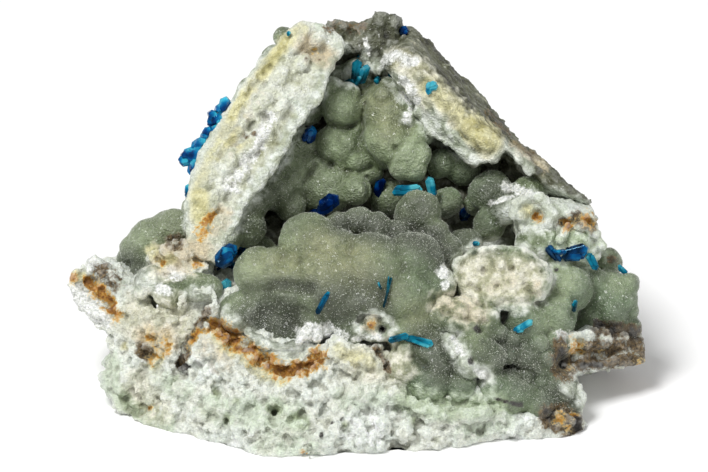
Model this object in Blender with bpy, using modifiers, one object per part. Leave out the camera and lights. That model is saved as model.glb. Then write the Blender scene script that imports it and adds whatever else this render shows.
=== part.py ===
"""Veszelyite on hemimorphite: one botryoidal rock with small blue crystals seated on it.

The specimen shows its best side on a display face that leans back from upright. Places on that face
are given in millimetres as (across, up, out): across to the right, up the face, out of the face.
"""

import math

import bmesh
import bpy
from mathutils import Matrix, Vector
from mathutils.bvhtree import BVHTree

MM = 0.001

# Overall size of the rock, which is trimmed to this box: width, depth and height.
SIZE = Vector((33.9, 21.2, 19.0)) * MM

# The display face leans back by this much, and its zero lies here above the resting plane.
FACE_LEAN = math.radians(28.0)
FACE_ZERO = Vector((-0.15, -1.2, 9.6)) * MM

# The rock's surface mesh: grid spacing of the first skin, and the triangles kept of it.
ROCK_VOXEL = 0.34 * MM
ROCK_TRIANGLES = 7000
LOBE_DIVISIONS = 3

# Crystals sit this far off the rock, and their roots are sunk this deep before they are trimmed.
SEAT_GAP = 0.06 * MM
ROOT_DEPTH = 0.5

# Corners of the rock masses on the display face, each mass the hull of its corners.
ROCK_MASSES = {
    "core": [
        (-11.5, -3.8, 0.0), (-7.0, -3.0, 0.8), (0.0, -1.6, 0.8), (5.0, -1.4, 0.4), (11.5, -2.0, -0.6),
        (13.0, -5.5, -0.6), (-12.6, -9.5, -0.8), (-11.5, -11.5, 0.5), (-5.0, -12.9, 3.0),
        (5.0, -12.5, 2.6), (12.5, -11.6, 1.0), (-10.5, -1.0, -8.0), (10.5, -0.6, -8.5),
        (-11.0, -5.0, -12.6), (11.0, -5.0, -12.6),
    ],
    "back_wall": [
        (-8.0, -1.5, -5.4), (-7.0, 3.0, -5.6), (-3.5, 9.5, -6.4), (-1.5, 11.6, -6.8), (2.0, 12.0, -6.8),
        (4.5, 10.5, -6.8), (9.5, 5.0, -6.4), (12.5, 1.2, -5.4), (12.5, -2.0, -5.0),
        (-9.6, -3.0, -12.2), (-8.0, 2.2, -10.6), (-2.2, 8.4, -9.6), (2.4, 8.8, -9.6), (8.2, 3.8, -10.4),
        (11.6, 0.0, -10.6), (11.2, -4.0, -12.4),
    ],
    "left_wall_foot": [
        (-9.8, 1.7, 0.2), (-9.8, -0.6, 0.4), (-9.1, -1.5, 0.5), (-8.3, -1.6, 0.6), (-7.8, -0.4, 0.5),
        (-6.8, 1.8, 0.0), (-6.2, 2.4, -0.2), (-8.8, 3.3, -0.2), (-9.8, 2.8, -0.2),
        (-9.6, 2.5, -6.0), (-9.8, -1.5, -6.0), (-6.8, 2.0, -6.4), (-7.5, -1.8, -6.4),
    ],
    "left_wall_middle": [
        (-9.7, 3.0, -0.2), (-9.1, 5.1, -0.5), (-8.2, 6.5, -0.7), (-7.2, 8.1, -1.0), (-3.2, 6.9, -1.2),
        (-3.8, 5.9, -1.0), (-4.4, 4.5, -0.8), (-5.5, 3.0, -0.5), (-6.1, 2.3, -0.3), (-8.2, 2.1, 0.0),
        (-9.3, 3.0, -6.5), (-7.8, 7.2, -7.0), (-4.4, 6.6, -7.5), (-6.4, 2.5, -6.8),
    ],
    "left_wall_top": [
        (-7.2, 8.1, -1.0), (-6.1, 9.5, -1.3), (-5.4, 10.5, -1.6), (-4.6, 11.4, -1.9), (-3.8, 12.3, -2.2),
        (-3.1, 12.8, -2.4), (-1.9, 12.6, -2.5), (-0.9, 12.1, -2.5), (-0.4, 11.5, -2.5), (-0.8, 10.8, -2.3),
        (-1.7, 9.6, -2.0), (-2.1, 8.1, -1.7), (-3.2, 6.9, -1.2),
        (-7.0, 7.6, -7.0), (-4.2, 11.4, -7.2), (-1.2, 11.6, -7.6), (-3.2, 7.2, -7.6),
    ],
    "summit_ridge": [
        (-1.6, 12.6, -4.6), (1.0, 12.75, -4.8), (-1.6, 11.4, -4.6), (1.0, 11.0, -5.2),
        (-1.6, 12.0, -8.4), (1.0, 12.2, -8.6), (-1.8, 9.6, -9.0), (1.2, 9.6, -9.0),
    ],
    "summit_block": [
        (0.2, 12.3, -4.4), (1.4, 13.15, -4.6), (2.7, 13.25, -4.6), (2.7, 11.4, -4.2), (1.6, 9.4, -4.2),
        (0.5, 9.8, -4.6), (0.3, 12.4, -7.2), (2.6, 12.9, -7.0), (2.5, 9.4, -8.4), (0.3, 9.4, -8.4),
    ],
    "right_wall": [
        (1.9, 10.2, -2.6), (2.7, 11.1, -2.7), (3.4, 11.1, -2.6), (4.4, 10.2, -2.3), (5.4, 8.9, -1.9),
        (6.5, 7.4, -1.6), (7.7, 6.5, -1.4), (8.8, 5.5, -1.2), (8.4, 4.9, -1.3), (7.3, 4.5, -1.5),
        (5.8, 5.6, -2.1), (4.6, 6.4, -2.6), (3.8, 7.9, -2.9), (2.7, 8.9, -2.9),
        (2.8, 12.5, -6.8), (3.4, 12.6, -7.0), (5.1, 10.9, -7.2), (7.4, 8.7, -7.4), (10.0, 5.7, -7.2),
        (8.5, 3.8, -7.4), (3.0, 8.2, -8.0),
    ],
    "right_wall_low": [
        (8.6, 5.6, -1.4), (10.2, 4.0, -1.3), (11.5, 2.9, -1.2), (13.0, 2.3, -1.2), (14.1, 1.9, -1.4),
        (10.1, 5.7, -6.6), (11.9, 3.8, -6.2), (14.2, 2.0, -5.0), (9.4, 3.6, -6.6), (12.4, 1.6, -5.6),
    ],
    "right_shoulder": [
        (9.3, 1.6, 0.4), (10.8, 2.3, 0.2), (12.1, 1.5, 0.4), (13.2, 1.6, 0.0), (14.3, 1.1, -0.2),
        (14.7, -1.3, -0.4), (14.0, -1.7, 0.0), (11.5, -0.8, 0.6), (9.8, -0.4, 0.6),
        (9.5, 1.4, -6.0), (14.0, 1.3, -4.6), (14.4, -1.6, -4.6), (10.0, -1.6, -6.0),
    ],
    "left_wing": [
        (-17.0, -2.75, -1.6), (-16.4, -2.0, -2.0), (-15.3, -1.2, -2.6), (-14.8, -1.5, -2.2),
        (-13.9, -2.0, -1.5), (-16.6, -3.6, -1.3), (-15.3, -4.8, -0.9), (-14.2, -6.2, -0.7),
        (-12.0, -3.2, -0.4), (-12.0, -6.5, 0.4), (-15.6, -2.6, -5.0), (-14.5, -1.9, -6.4),
        (-12.0, -1.8, -8.0), (-14.5, -4.8, -6.0), (-12.0, -7.0, -8.0),
    ],
    "left_foot_rubble": [
        (-11.9, -0.9, -0.6), (-10.5, -0.2, -0.3), (-9.0, -0.6, 0.2), (-8.3, -1.8, 0.8), (-9.0, -2.6, 1.0),
        (-10.8, -2.3, 0.6), (-11.8, -1.9, 0.0), (-11.5, -0.8, -5.0), (-8.5, -0.8, -6.0),
        (-8.5, -3.5, -6.0), (-12.0, -3.5, -6.0),
    ],
    "bottom_left": [
        (-14.2, -6.0, -0.9), (-14.3, -8.3, -1.1), (-14.6, -9.3, -0.9), (-13.8, -10.4, -0.1),
        (-12.0, -11.4, 0.7), (-9.5, -12.1, 1.7), (-8.0, -11.8, 1.8), (-8.8, -5.2, 1.4), (-12.0, -4.4, 0.3),
        (-13.6, -6.0, -6.5), (-13.4, -8.0, -8.0), (-9.0, -6.0, -10.0),
    ],
    "bottom_rim": [
        (-8.8, -5.6, 1.8), (-6.0, -6.8, 2.6), (-3.0, -7.6, 3.2), (1.0, -6.6, 3.3), (4.5, -9.2, 3.4),
        (8.5, -9.8, 2.6), (-9.4, -12.1, 1.8), (-5.4, -13.05, 3.9), (-3.8, -12.9, 3.9), (0.5, -12.7, 3.6),
        (4.5, -12.6, 3.2), (8.4, -12.1, 2.4), (-8.0, -9.0, -5.0), (8.0, -9.0, -5.0),
    ],
    "bottom_right": [
        (8.2, -9.8, 2.2), (8.6, -12.1, 2.3), (10.5, -11.6, 2.0), (12.7, -12.0, 1.8), (13.75, -11.3, 1.3),
        (13.4, -10.0, 1.0), (12.4, -8.4, 0.9), (9.4, -8.4, 1.6), (12.6, -8.8, -4.0), (9.0, -8.0, -6.0),
        (12.4, -10.5, -2.5),
    ],
    "right_wing": [
        (12.2, -6.0, 0.9), (12.1, -7.7, 0.9), (12.7, -8.2, 0.5), (15.0, -7.65, -0.7), (17.3, -7.5, -1.7),
        (17.3, -6.5, -1.9), (16.8, -5.3, -2.1), (14.0, -5.2, -1.2), (13.0, -6.0, -6.0),
        (16.4, -5.0, -4.8), (16.8, -7.0, -4.2), (13.0, -8.2, -5.0),
    ],
}

# Bubbly growths as (across, up, radius, front): front is how far out the lobe's nearest point lies.
LOBES = {
    "vault": [
        (-0.7, 7.6, 1.35, -3.7), (-0.9, 5.2, 1.6, -3.4), (2.1, 7.3, 1.9, -2.8), (1.9, 5.5, 1.5, -2.3),
        (3.3, 4.5, 1.3, -2.3), (3.9, 6.2, 0.9, -2.9), (-0.9, 3.1, 1.9, -2.9), (0.6, 3.0, 1.3, -3.2),
        (-4.1, 3.6, 1.4, -3.1), (-3.1, 5.6, 0.9, -3.4), (-3.8, 1.8, 0.9, -2.6), (-2.7, 7.3, 0.8, -4.2),
        (5.2, 4.3, 0.95, -4.1), (6.4, 4.0, 1.1, -4.4), (0.9, 8.4, 1.0, -4.6), (1.8, 8.6, 0.9, -4.2),
        (-0.8, 9.2, 1.0, -5.4), (2.0, 2.3, 1.1, -4.2), (-2.4, 2.4, 1.0, -3.6), (3.2, 9.0, 0.8, -3.6),
    ],
    "left_inner": [
        (-6.3, 0.45, 1.2, -0.4), (-6.1, 1.7, 0.95, -0.9), (-5.3, 2.2, 0.8, -1.6), (-7.4, -0.3, 0.8, 0.3),
    ],
    "right_inner": [
        (8.1, 2.6, 1.35, -1.9), (5.5, 2.0, 0.85, -2.7), (8.0, 0.65, 1.0, -1.4), (10.2, 2.6, 0.9, -1.6),
        (10.8, 3.0, 0.8, -2.0), (9.0, 1.5, 0.9, -1.0), (6.6, -0.6, 1.1, -0.4), (7.2, 1.9, 0.8, -3.4),
    ],
    "centre": [
        (-5.6, -2.15, 1.5, 3.2), (-4.9, -2.0, 1.3, 3.3), (-2.6, -0.5, 1.9, 3.3), (-1.2, -1.2, 1.7, 3.6),
        (-0.9, 0.8, 0.75, 1.7), (0.25, 0.9, 0.9, 1.6), (1.4, 0.5, 0.85, 1.8), (2.6, 0.2, 0.8, 1.6),
        (3.8, 1.3, 1.4, 1.3), (4.8, 0.3, 0.8, 1.3), (-1.4, -2.5, 2.4, 4.2), (1.1, -2.0, 2.2, 4.2),
        (3.4, -1.6, 1.9, 3.5), (3.0, -3.5, 1.9, 4.0), (0.6, -3.9, 1.8, 4.0), (4.8, -2.9, 1.2, 3.2),
        (-0.8, -4.2, 1.3, 3.5), (-3.6, -2.6, 1.5, 3.6), (5.3, -0.9, 1.1, 1.6),
    ],
    "below_centre": [
        (-4.1, -3.7, 1.2, 2.5), (-3.0, -3.8, 1.1, 2.6), (-4.4, -5.1, 1.9, 3.0), (-5.6, -4.6, 1.3, 2.6),
        (-6.7, -4.5, 1.3, 2.3), (-2.6, -5.4, 1.1, 3.1), (-0.5, -4.9, 1.2, 3.4), (-0.3, -5.8, 0.8, 3.4),
        (3.3, -5.5, 1.6, 3.7), (1.3, -5.2, 1.1, 3.7), (4.6, -7.0, 1.7, 3.9), (4.3, -8.3, 1.5, 3.8),
        (2.9, -7.6, 1.2, 3.9), (6.2, -8.6, 1.1, 3.4),
    ],
    "right_middle": [
        (7.8, -2.5, 1.9, 3.2), (9.4, -2.4, 1.8, 3.1), (10.4, -2.5, 1.3, 2.8), (6.2, -4.7, 1.2, 3.6),
        (5.2, -4.8, 1.0, 3.4), (7.6, -5.1, 1.1, 3.3), (7.0, -6.7, 1.3, 3.9), (6.6, -7.6, 0.9, 3.9),
        (7.9, -7.2, 1.0, 3.5), (10.1, -5.2, 1.3, 2.5), (9.8, -4.5, 0.8, 2.5), (10.3, -7.2, 1.8, 2.3),
        (8.9, -6.3, 1.1, 2.3), (9.2, -9.2, 1.4, 3.2), (8.2, -8.9, 1.1, 3.3), (11.8, -9.2, 1.6, 1.9),
        (12.6, -9.9, 1.0, 1.6), (10.8, -9.9, 1.0, 2.6),
    ],
    "right_domes": [
        (12.5, -3.1, 1.55, 1.1), (11.8, -4.6, 1.45, 1.7), (11.7, -6.2, 1.2, 1.6), (15.1, -3.6, 1.65, -0.4),
        (16.0, -3.8, 0.85, -0.6), (15.0, -1.6, 0.9, -2.3), (14.3, -4.6, 1.1, -0.8), (15.6, -5.1, 1.0, -1.0),
        (16.3, -5.4, 0.75, -1.3), (13.6, -5.4, 1.0, -1.4), (10.8, -0.4, 1.4, 1.1), (13.0, -0.3, 1.2, 0.6),
    ],
    "left_domes": [
        (-11.9, -0.5, 1.6, -1.4), (-11.0, 0.45, 1.1, -1.8), (-10.5, 0.5, 1.1, -1.2),
        (-11.4, -1.4, 1.0, -0.8), (-13.1, -1.6, 1.0, -3.0), (-12.2, -2.3, 1.1, -1.8),
        (-12.0, -2.7, 0.85, 0.4), (-10.8, -3.5, 0.9, 0.6),
        (-9.1, -2.9, 0.8, 1.0), (-8.6, -3.0, 0.7, 1.2), (-12.9, -0.7, 0.9, -2.2),
    ],
    "floor": [
        (-4.5, -1.5, 1.0, -1.0), (-2.8, -1.6, 1.0, -0.3), (-1.0, -1.4, 1.0, -0.8), (0.8, -1.5, 1.1, -0.2),
        (2.6, -1.5, 1.0, -0.6), (4.4, -1.4, 1.0, -0.4), (-3.6, -1.3, 1.0, -2.5), (-1.8, -1.5, 1.1, -2.2),
        (0.2, -1.4, 1.1, -2.4), (2.0, -1.5, 1.0, -2.0), (4.0, -1.4, 1.1, -1.9), (5.8, -1.0, 1.0, -1.6),
        (-5.4, -1.0, 1.0, -1.9), (-0.6, -0.6, 1.1, -3.6), (1.6, -0.4, 1.1, -3.7), (3.6, -0.2, 1.1, -3.6),
        (-2.8, -0.4, 1.1, -3.9),
    ],
    "outer_left": [
        (-4.2, 11.85, 0.72, -4.0), (-6.0, 8.4, 0.9, -4.0), (-7.3, 6.0, 1.0, -3.6), (-8.3, 4.0, 0.9, -3.4),
        (-8.8, 2.3, 0.8, -3.0), (-4.8, 10.0, 0.85, -4.4), (-9.1, 0.8, 1.0, -3.4),
    ],
}

# Growths on the hidden back, laid along the back wall's slope by rows.
BACK_ROWS = 4
BACK_LOBES_IN_ROW = 6
BACK_RADIUS = 1.7

# Colours from the real minerals: linear red, green, blue.
ROCK_COLOUR = (0.36, 0.40, 0.30, 1.0)
BLUE_COLOUR = (0.01, 0.08, 0.32, 1.0)
TEAL_COLOUR = (0.01, 0.20, 0.26, 1.0)

# Crystals: the face place of each blade's middle, its length, width and thickness in mm, the turn of
# its length from straight across (degrees, towards up), how far its far end tips out of the face, and
# for blades on the rim, which stand beyond the face, how far out they lie.
# Blades of one name grow together and are joined.
CRYSTALS = {
    "crystals_left_rim": [
        (-7.7, 7.55, 1.30, 0.75, 0.60, 62, 0, -1.6), (-8.2, 6.9, 1.20, 0.80, 0.60, 20, 10, -1.6),
        (-7.95, 6.35, 1.40, 0.75, 0.60, 70, 0, -1.5), (-8.65, 5.8, 1.30, 0.75, 0.60, 48, 5, -1.5),
        (-9.2, 5.35, 1.20, 0.75, 0.60, 35, 10, -1.5), (-9.7, 4.85, 1.20, 0.75, 0.60, 20, 5, -1.5),
        (-9.2, 4.6, 1.50, 0.95, 0.60, 65, 15, -1.4), (-9.9, 4.4, 1.00, 0.60, 0.50, 10, 5, -1.5),
        (-9.5, 4.0, 1.20, 0.65, 0.50, 80, 5, -1.4),
    ],
    "crystal_left_rim_foot": [(-9.75, 2.6, 0.95, 0.42, 0.40, 82, 0, -0.8)],
    "crystals_wall_foot": [
        (-7.5, -1.1, 1.50, 0.75, 0.50, 40, 15), (-7.0, -0.9, 1.60, 0.45, 0.40, 12, 10),
        (-7.6, -1.8, 1.30, 0.40, 0.40, 28, 20),
    ],
    "crystal_wall_foot_low": [(-7.5, -2.9, 0.90, 0.62, 0.35, 88, 20)],
    "crystal_inner_wall": [(-2.6, 6.0, 1.15, 0.62, 0.50, 78, 25), (-2.85, 5.9, 0.80, 0.45, 0.40, 60, 15)],
    "crystal_leaf": [(-1.55, 1.9, 1.60, 0.75, 0.28, 38, 20), (-2.1, 1.45, 1.10, 0.32, 0.25, 20, 10)],
    "crystal_vault_blade": [(1.5, 2.85, 1.30, 0.62, 0.30, 78, 20)],
    "crystals_vault_rod": [(3.2, 2.8, 1.90, 0.50, 0.40, 0, 5), (4.55, 2.9, 1.30, 0.50, 0.42, 104, 15)],
    "crystal_shadow": [(6.6, 1.3, 1.10, 0.65, 0.45, 55, 30)],
    "crystals_apex_fan": [
        (0.1, 9.7, 1.30, 0.50, 0.32, 84, 25), (0.5, 9.4, 1.10, 0.42, 0.30, 68, 20),
        (-0.6, 9.1, 0.60, 0.35, 0.30, 20, 20),
    ],
    "crystal_apex_round": [(1.4, 9.25, 0.62, 0.45, 0.30, 85, 25)],
    "crystal_apex_sliver": [(2.1, 9.5, 0.70, 0.16, 0.16, 72, 15)],
    "crystal_right_edge": [(4.6, 8.8, 0.80, 0.45, 0.30, 15, 20), (4.45, 8.7, 0.75, 0.35, 0.28, 75, 20)],
    "crystal_summit": [(2.95, 12.25, 0.80, 0.60, 0.50, 60, 5, -5.6)],
    "crystal_left_top": [(-3.85, 11.95, 0.40, 0.22, 0.20, 60, 10)],
    "crystals_right_pair": [
        (12.9, -1.05, 1.75, 0.78, 0.42, 10, 10), (11.8, -1.0, 1.10, 0.42, 0.32, 128, 20),
        (12.1, -0.95, 0.90, 0.35, 0.30, 5, 10),
    ],
    "crystal_right_drop": [(14.0, -1.5, 1.20, 0.42, 0.32, 118, 10)],
    "crystal_right_dome": [(15.85, -2.05, 0.75, 0.30, 0.26, 140, 0, -2.1)],
    "crystal_right_hollow": [(12.95, -4.1, 0.85, 0.30, 0.26, 80, 10)],
    "crystal_right_field": [
        (9.95, -5.25, 1.25, 0.42, 0.30, 30, 10), (9.7, -5.45, 0.70, 0.35, 0.26, 10, 10),
    ],
    "crystal_long_needle": [
        (3.75, -6.1, 2.00, 0.45, 0.32, -14, 6), (2.6, -5.95, 1.40, 0.42, 0.30, 16, 8),
    ],
    "crystal_thin_needle": [(1.95, -3.3, 1.90, 0.16, 0.16, 75, 6)],
    "crystal_centre_blade": [(-1.8, -3.85, 1.75, 0.36, 0.28, 62, 8)],
    "crystal_oval_top": [(7.2, -0.45, 0.55, 0.30, 0.25, 0, 15)],
    "crystal_centre_speck": [(1.5, -2.9, 0.55, 0.16, 0.16, 112, 6)],
    "crystal_vug_speck": [(0.3, 10.7, 0.40, 0.25, 0.22, 30, 15)],
}
TEAL_CRYSTALS = {
    "crystals_apex_fan", "crystal_apex_round", "crystal_apex_sliver", "crystal_thin_needle",
    "crystal_centre_speck", "crystal_right_hollow", "crystal_vug_speck", "crystal_left_top",
}
CRYSTAL_SIDES = 6
TIP_SLANT = math.radians(38.0)


def clear_scene():
    for thing in list(bpy.data.objects):
        bpy.data.objects.remove(thing, do_unlink=True)


def face_to_part():
    """The turn and shift that carry (across, up, out) to the part's own frame, still in mm."""
    turn = Matrix.Rotation(math.pi / 2.0 - FACE_LEAN, 4, "X")
    return Matrix.Translation(FACE_ZERO / MM) @ turn


def mineral(name, colour, roughness):
    material = bpy.data.materials.new(name)
    material.use_nodes = True
    shader = material.node_tree.nodes["Principled BSDF"]
    shader.inputs["Base Color"].default_value = colour
    shader.inputs["Roughness"].default_value = roughness
    material.diffuse_color = colour
    return material


def new_object(name, mesh, collection):
    thing = bpy.data.objects.new(name, mesh)
    collection.objects.link(thing)
    return thing


def mesh_from(bm, name):
    mesh = bpy.data.meshes.new(name)
    bmesh.ops.transform(bm, matrix=Matrix.Scale(MM, 4) @ face_to_part(), verts=bm.verts)
    bm.to_mesh(mesh)
    bm.free()
    return mesh


def evaluated_copy(thing, name):
    """The object's mesh as its modifiers leave it, on a mesh of its own."""
    graph = bpy.context.evaluated_depsgraph_get()
    graph.update()
    mesh = bpy.data.meshes.new_from_object(thing.evaluated_get(graph))
    mesh.name = name
    return mesh


def add_hull(bm, corners):
    verts = [bm.verts.new(corner) for corner in corners]
    made = bmesh.ops.convex_hull(bm, input=verts)
    inner = set(made["geom_interior"]) | set(made["geom_unused"])
    spare = [part for part in inner if isinstance(part, bmesh.types.BMVert)]
    bmesh.ops.delete(bm, geom=spare, context="VERTS")


def add_lobe(bm, across, up, radius, front):
    place = Matrix.Translation((across, up, front - radius))
    bmesh.ops.create_icosphere(bm, subdivisions=LOBE_DIVISIONS, radius=radius, matrix=place)


def add_back_lobes(bm):
    """Rows of growths over the hidden back, from the base to the summit."""
    for row in range(BACK_ROWS):
        rise = row / (BACK_ROWS - 1)
        half_width = 9.0 - 6.5 * rise
        for step in range(BACK_LOBES_IN_ROW):
            along = (step + 0.5 * (row % 2)) / (BACK_LOBES_IN_ROW - 0.5)
            across = half_width * (2.0 * along - 1.0)
            swell = math.sin(2.3 * step + 1.7 * row)
            up = -4.6 + 13.0 * rise + 0.6 * swell
            back = -11.9 + 2.0 * rise
            radius = BACK_RADIUS * (1.0 + 0.22 * swell) * (1.0 - 0.25 * rise)
            add_lobe(bm, across, up, radius, back + 1.5 * radius)


def largest_body(mesh):
    """Drops every loose shell but the largest, such as the skin of a closed bubble."""
    bm = bmesh.new()
    bm.from_mesh(mesh)
    left = set(bm.verts)
    bodies = []
    while left:
        edge_of_search = [left.pop()]
        body = set(edge_of_search)
        while edge_of_search:
            vert = edge_of_search.pop()
            for edge in vert.link_edges:
                other = edge.other_vert(vert)
                if other in left:
                    left.remove(other)
                    body.add(other)
                    edge_of_search.append(other)
        bodies.append(body)
    keep = max(bodies, key=len)
    spare = [v for v in bm.verts if v not in keep]
    bmesh.ops.delete(bm, geom=spare, context="VERTS")
    bm.to_mesh(mesh)
    bm.free()


def rock_skin(collection):
    """All masses and lobes grown together into one closed skin, thinned to the triangles kept."""
    bm = bmesh.new()
    for corners in ROCK_MASSES.values():
        add_hull(bm, corners)
    for group in LOBES.values():
        for lobe in group:
            add_lobe(bm, *lobe)
    add_back_lobes(bm)
    rough = new_object("rock_rough", mesh_from(bm, "rock_rough"), collection)
    skin = rough.modifiers.new("grow_together", "REMESH")
    skin.mode = "VOXEL"
    skin.voxel_size = ROCK_VOXEL
    soften = rough.modifiers.new("soften", "SMOOTH")
    soften.factor = 0.5
    soften.iterations = 2
    mesh = evaluated_copy(rough, "rock_skin")
    bpy.data.objects.remove(rough, do_unlink=True)
    largest_body(mesh)
    return mesh


def size_box(collection):
    """The box that trims the rock: its floor is the flat the specimen rests on."""
    bm = bmesh.new()
    bmesh.ops.create_cube(bm, size=1.0)
    bmesh.ops.scale(bm, vec=SIZE, verts=bm.verts)
    bmesh.ops.translate(bm, vec=(0.0, 0.0, SIZE.z / 2.0), verts=bm.verts)
    mesh = bpy.data.meshes.new("size_box")
    bm.to_mesh(mesh)
    bm.free()
    box = new_object("size_box", mesh, collection)
    box.hide_render = True
    box.display_type = "WIRE"
    return box


def make_rock(parts, cutters):
    mesh = rock_skin(cutters)
    rock = new_object("hemimorphite", mesh, parts)
    triangles = sum(len(face.vertices) - 2 for face in mesh.polygons)
    thin = rock.modifiers.new("thin", "DECIMATE")
    thin.ratio = ROCK_TRIANGLES / triangles
    thin.use_collapse_triangulate = True
    trim = rock.modifiers.new("trim", "BOOLEAN")
    trim.operation = "INTERSECT"
    trim.object = size_box(cutters)
    rock.data = evaluated_copy(rock, "hemimorphite")
    rock.modifiers.clear()
    rock.data.materials.append(mineral("hemimorphite", ROCK_COLOUR, 0.5))
    rock.data.shade_smooth()
    rock.data.set_sharp_from_angle(angle=math.radians(40.0))
    return rock


def rock_cutter(rock, cutters):
    """The rock swollen by the seat gap, which trims the crystals' roots."""
    cutter = new_object("rock_cutter", rock.data.copy(), cutters)
    swell = cutter.modifiers.new("swell", "DISPLACE")
    swell.strength = SEAT_GAP
    swell.mid_level = 0.0
    cutter.hide_render = True
    cutter.display_type = "WIRE"
    return cutter


def seat_depth(tree, across, up):
    """How far out the rock's surface lies at a place on the display face."""
    to_part = Matrix.Scale(MM, 4) @ face_to_part()
    start = to_part @ Vector((across, up, 40.0))
    end = to_part @ Vector((across, up, -40.0))
    hit = tree.ray_cast(start, (end - start).normalized())[0]
    return (to_part.inverted() @ hit).z


def add_blade(bm, place, length, width, thickness):
    """One crystal along its own X: a flattened prism with a slanted chisel tip at each end."""
    made = bmesh.ops.create_cone(
        bm, cap_ends=True, segments=CRYSTAL_SIDES, radius1=0.5, radius2=0.5, depth=1.0,
        matrix=Matrix.Rotation(math.pi / 2.0, 4, "Y"),
    )
    verts = made["verts"]
    bmesh.ops.scale(bm, vec=(length, width, thickness), verts=verts)
    edges = {edge for vert in verts for edge in vert.link_edges}
    faces = {face for vert in verts for face in vert.link_faces}
    geometry = list(set(verts) | edges | faces)
    for side in (-1.0, 1.0):
        point = Vector((side * (length - 0.35 * width) / 2.0, 0.0, 0.0))
        normal = Vector((side * math.cos(TIP_SLANT), math.sin(TIP_SLANT), 0.0))
        cut = bmesh.ops.bisect_plane(bm, geom=geometry, plane_co=point, plane_no=normal, clear_outer=True)
        rim = [e for e in cut["geom_cut"] if isinstance(e, bmesh.types.BMEdge)]
        filled = bmesh.ops.contextual_create(bm, geom=rim)
        geometry = list({g for g in cut["geom"] if g.is_valid} | set(filled["faces"]))
    bmesh.ops.recalc_face_normals(bm, faces=[g for g in geometry if isinstance(g, bmesh.types.BMFace)])
    bmesh.ops.transform(bm, matrix=place, verts=bm.verts)


def blade_place(tree, across, up, thickness, turn, tip, out=None):
    """Where a blade lies: on the rock under its middle, turned in the face and tipped out of it."""
    depth = seat_depth(tree, across, up) if out is None else out
    lift = thickness * (0.5 - ROOT_DEPTH) + 0.12
    return (
        Matrix.Translation((across, up, depth + lift))
        @ Matrix.Rotation(math.radians(turn), 4, "Z")
        @ Matrix.Rotation(-math.radians(tip), 4, "Y")
    )


def make_crystal(name, blades, tree, cutter, parts, cutters):
    material = mineral(name, TEAL_COLOUR if name in TEAL_CRYSTALS else BLUE_COLOUR, 0.12)
    made = []
    for number, (across, up, length, width, thickness, *lie) in enumerate(blades):
        bm = bmesh.new()
        add_blade(bm, blade_place(tree, across, up, thickness, *lie), length, width, thickness)
        blade = mesh_from(bm, name)
        home = parts if number == 0 else cutters
        made.append(new_object(name if number == 0 else f"{name}_blade_{number}", blade, home))
    crystal = made[0]
    for other in made[1:]:
        join = crystal.modifiers.new("join", "BOOLEAN")
        join.operation = "UNION"
        join.object = other
        other.hide_render = True
        other.display_type = "WIRE"
    root = crystal.modifiers.new("root", "BOOLEAN")
    root.operation = "DIFFERENCE"
    root.object = cutter
    crystal.data = evaluated_copy(crystal, name)
    crystal.modifiers.clear()
    largest_body(crystal.data)
    crystal.data.materials.clear()
    crystal.data.materials.append(material)
    return crystal


def main():
    clear_scene()
    parts = bpy.data.collections.new("veszelyite_on_hemimorphite")
    cutters = bpy.data.collections.new("cutters")
    bpy.context.scene.collection.children.link(parts)
    bpy.context.scene.collection.children.link(cutters)
    rock = make_rock(parts, cutters)
    cutter = rock_cutter(rock, cutters)
    surface = bmesh.new()
    surface.from_mesh(rock.data)
    tree = BVHTree.FromBMesh(surface)
    surface.free()
    for name, blades in CRYSTALS.items():
        make_crystal(name, blades, tree, cutter, parts, cutters)


main()
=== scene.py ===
"""Veszelyite on hemimorphite: the looks of one botryoidal rock with small blue crystals.

Places on the specimen's display face are in millimetres as (across, up, out): across to the right,
up the face, out of the face, which leans back from upright.
"""

import math
import random

import bpy
import numpy as np
from mathutils import Matrix, Vector


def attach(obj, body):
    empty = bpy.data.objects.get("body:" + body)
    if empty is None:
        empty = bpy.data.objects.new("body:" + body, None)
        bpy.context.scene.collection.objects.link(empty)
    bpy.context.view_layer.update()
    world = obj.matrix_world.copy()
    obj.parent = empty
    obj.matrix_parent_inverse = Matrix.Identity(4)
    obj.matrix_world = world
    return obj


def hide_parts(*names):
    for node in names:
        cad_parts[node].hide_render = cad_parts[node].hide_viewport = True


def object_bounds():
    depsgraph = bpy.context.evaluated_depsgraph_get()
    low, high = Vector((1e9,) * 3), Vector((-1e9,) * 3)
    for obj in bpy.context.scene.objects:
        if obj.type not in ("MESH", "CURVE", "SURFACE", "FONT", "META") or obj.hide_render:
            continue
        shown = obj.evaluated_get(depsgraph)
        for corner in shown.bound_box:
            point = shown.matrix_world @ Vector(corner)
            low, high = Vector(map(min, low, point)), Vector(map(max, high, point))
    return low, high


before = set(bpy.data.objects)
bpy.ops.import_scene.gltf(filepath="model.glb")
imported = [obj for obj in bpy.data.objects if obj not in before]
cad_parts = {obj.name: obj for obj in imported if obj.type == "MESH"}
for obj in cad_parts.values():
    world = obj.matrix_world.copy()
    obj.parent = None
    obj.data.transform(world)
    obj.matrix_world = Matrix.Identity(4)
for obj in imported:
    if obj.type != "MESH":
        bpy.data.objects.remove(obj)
cad_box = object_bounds()

MM = 0.001

# The display face: how far it leans back, and where its zero lies on the specimen in mm.
FACE_LEAN = math.radians(28.0)
FACE_ZERO = Vector((-0.15, -1.2, 9.6))
FACE = Matrix.Translation(FACE_ZERO) @ Matrix.Rotation(math.pi / 2.0 - FACE_LEAN, 4, "X")
TURN = np.array(FACE.to_3x3())
TO_PART = Matrix.Scale(MM, 4) @ FACE
# Further out than any rock, in mm.
CLEAR_OF_ROCK = 30.0

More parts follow.
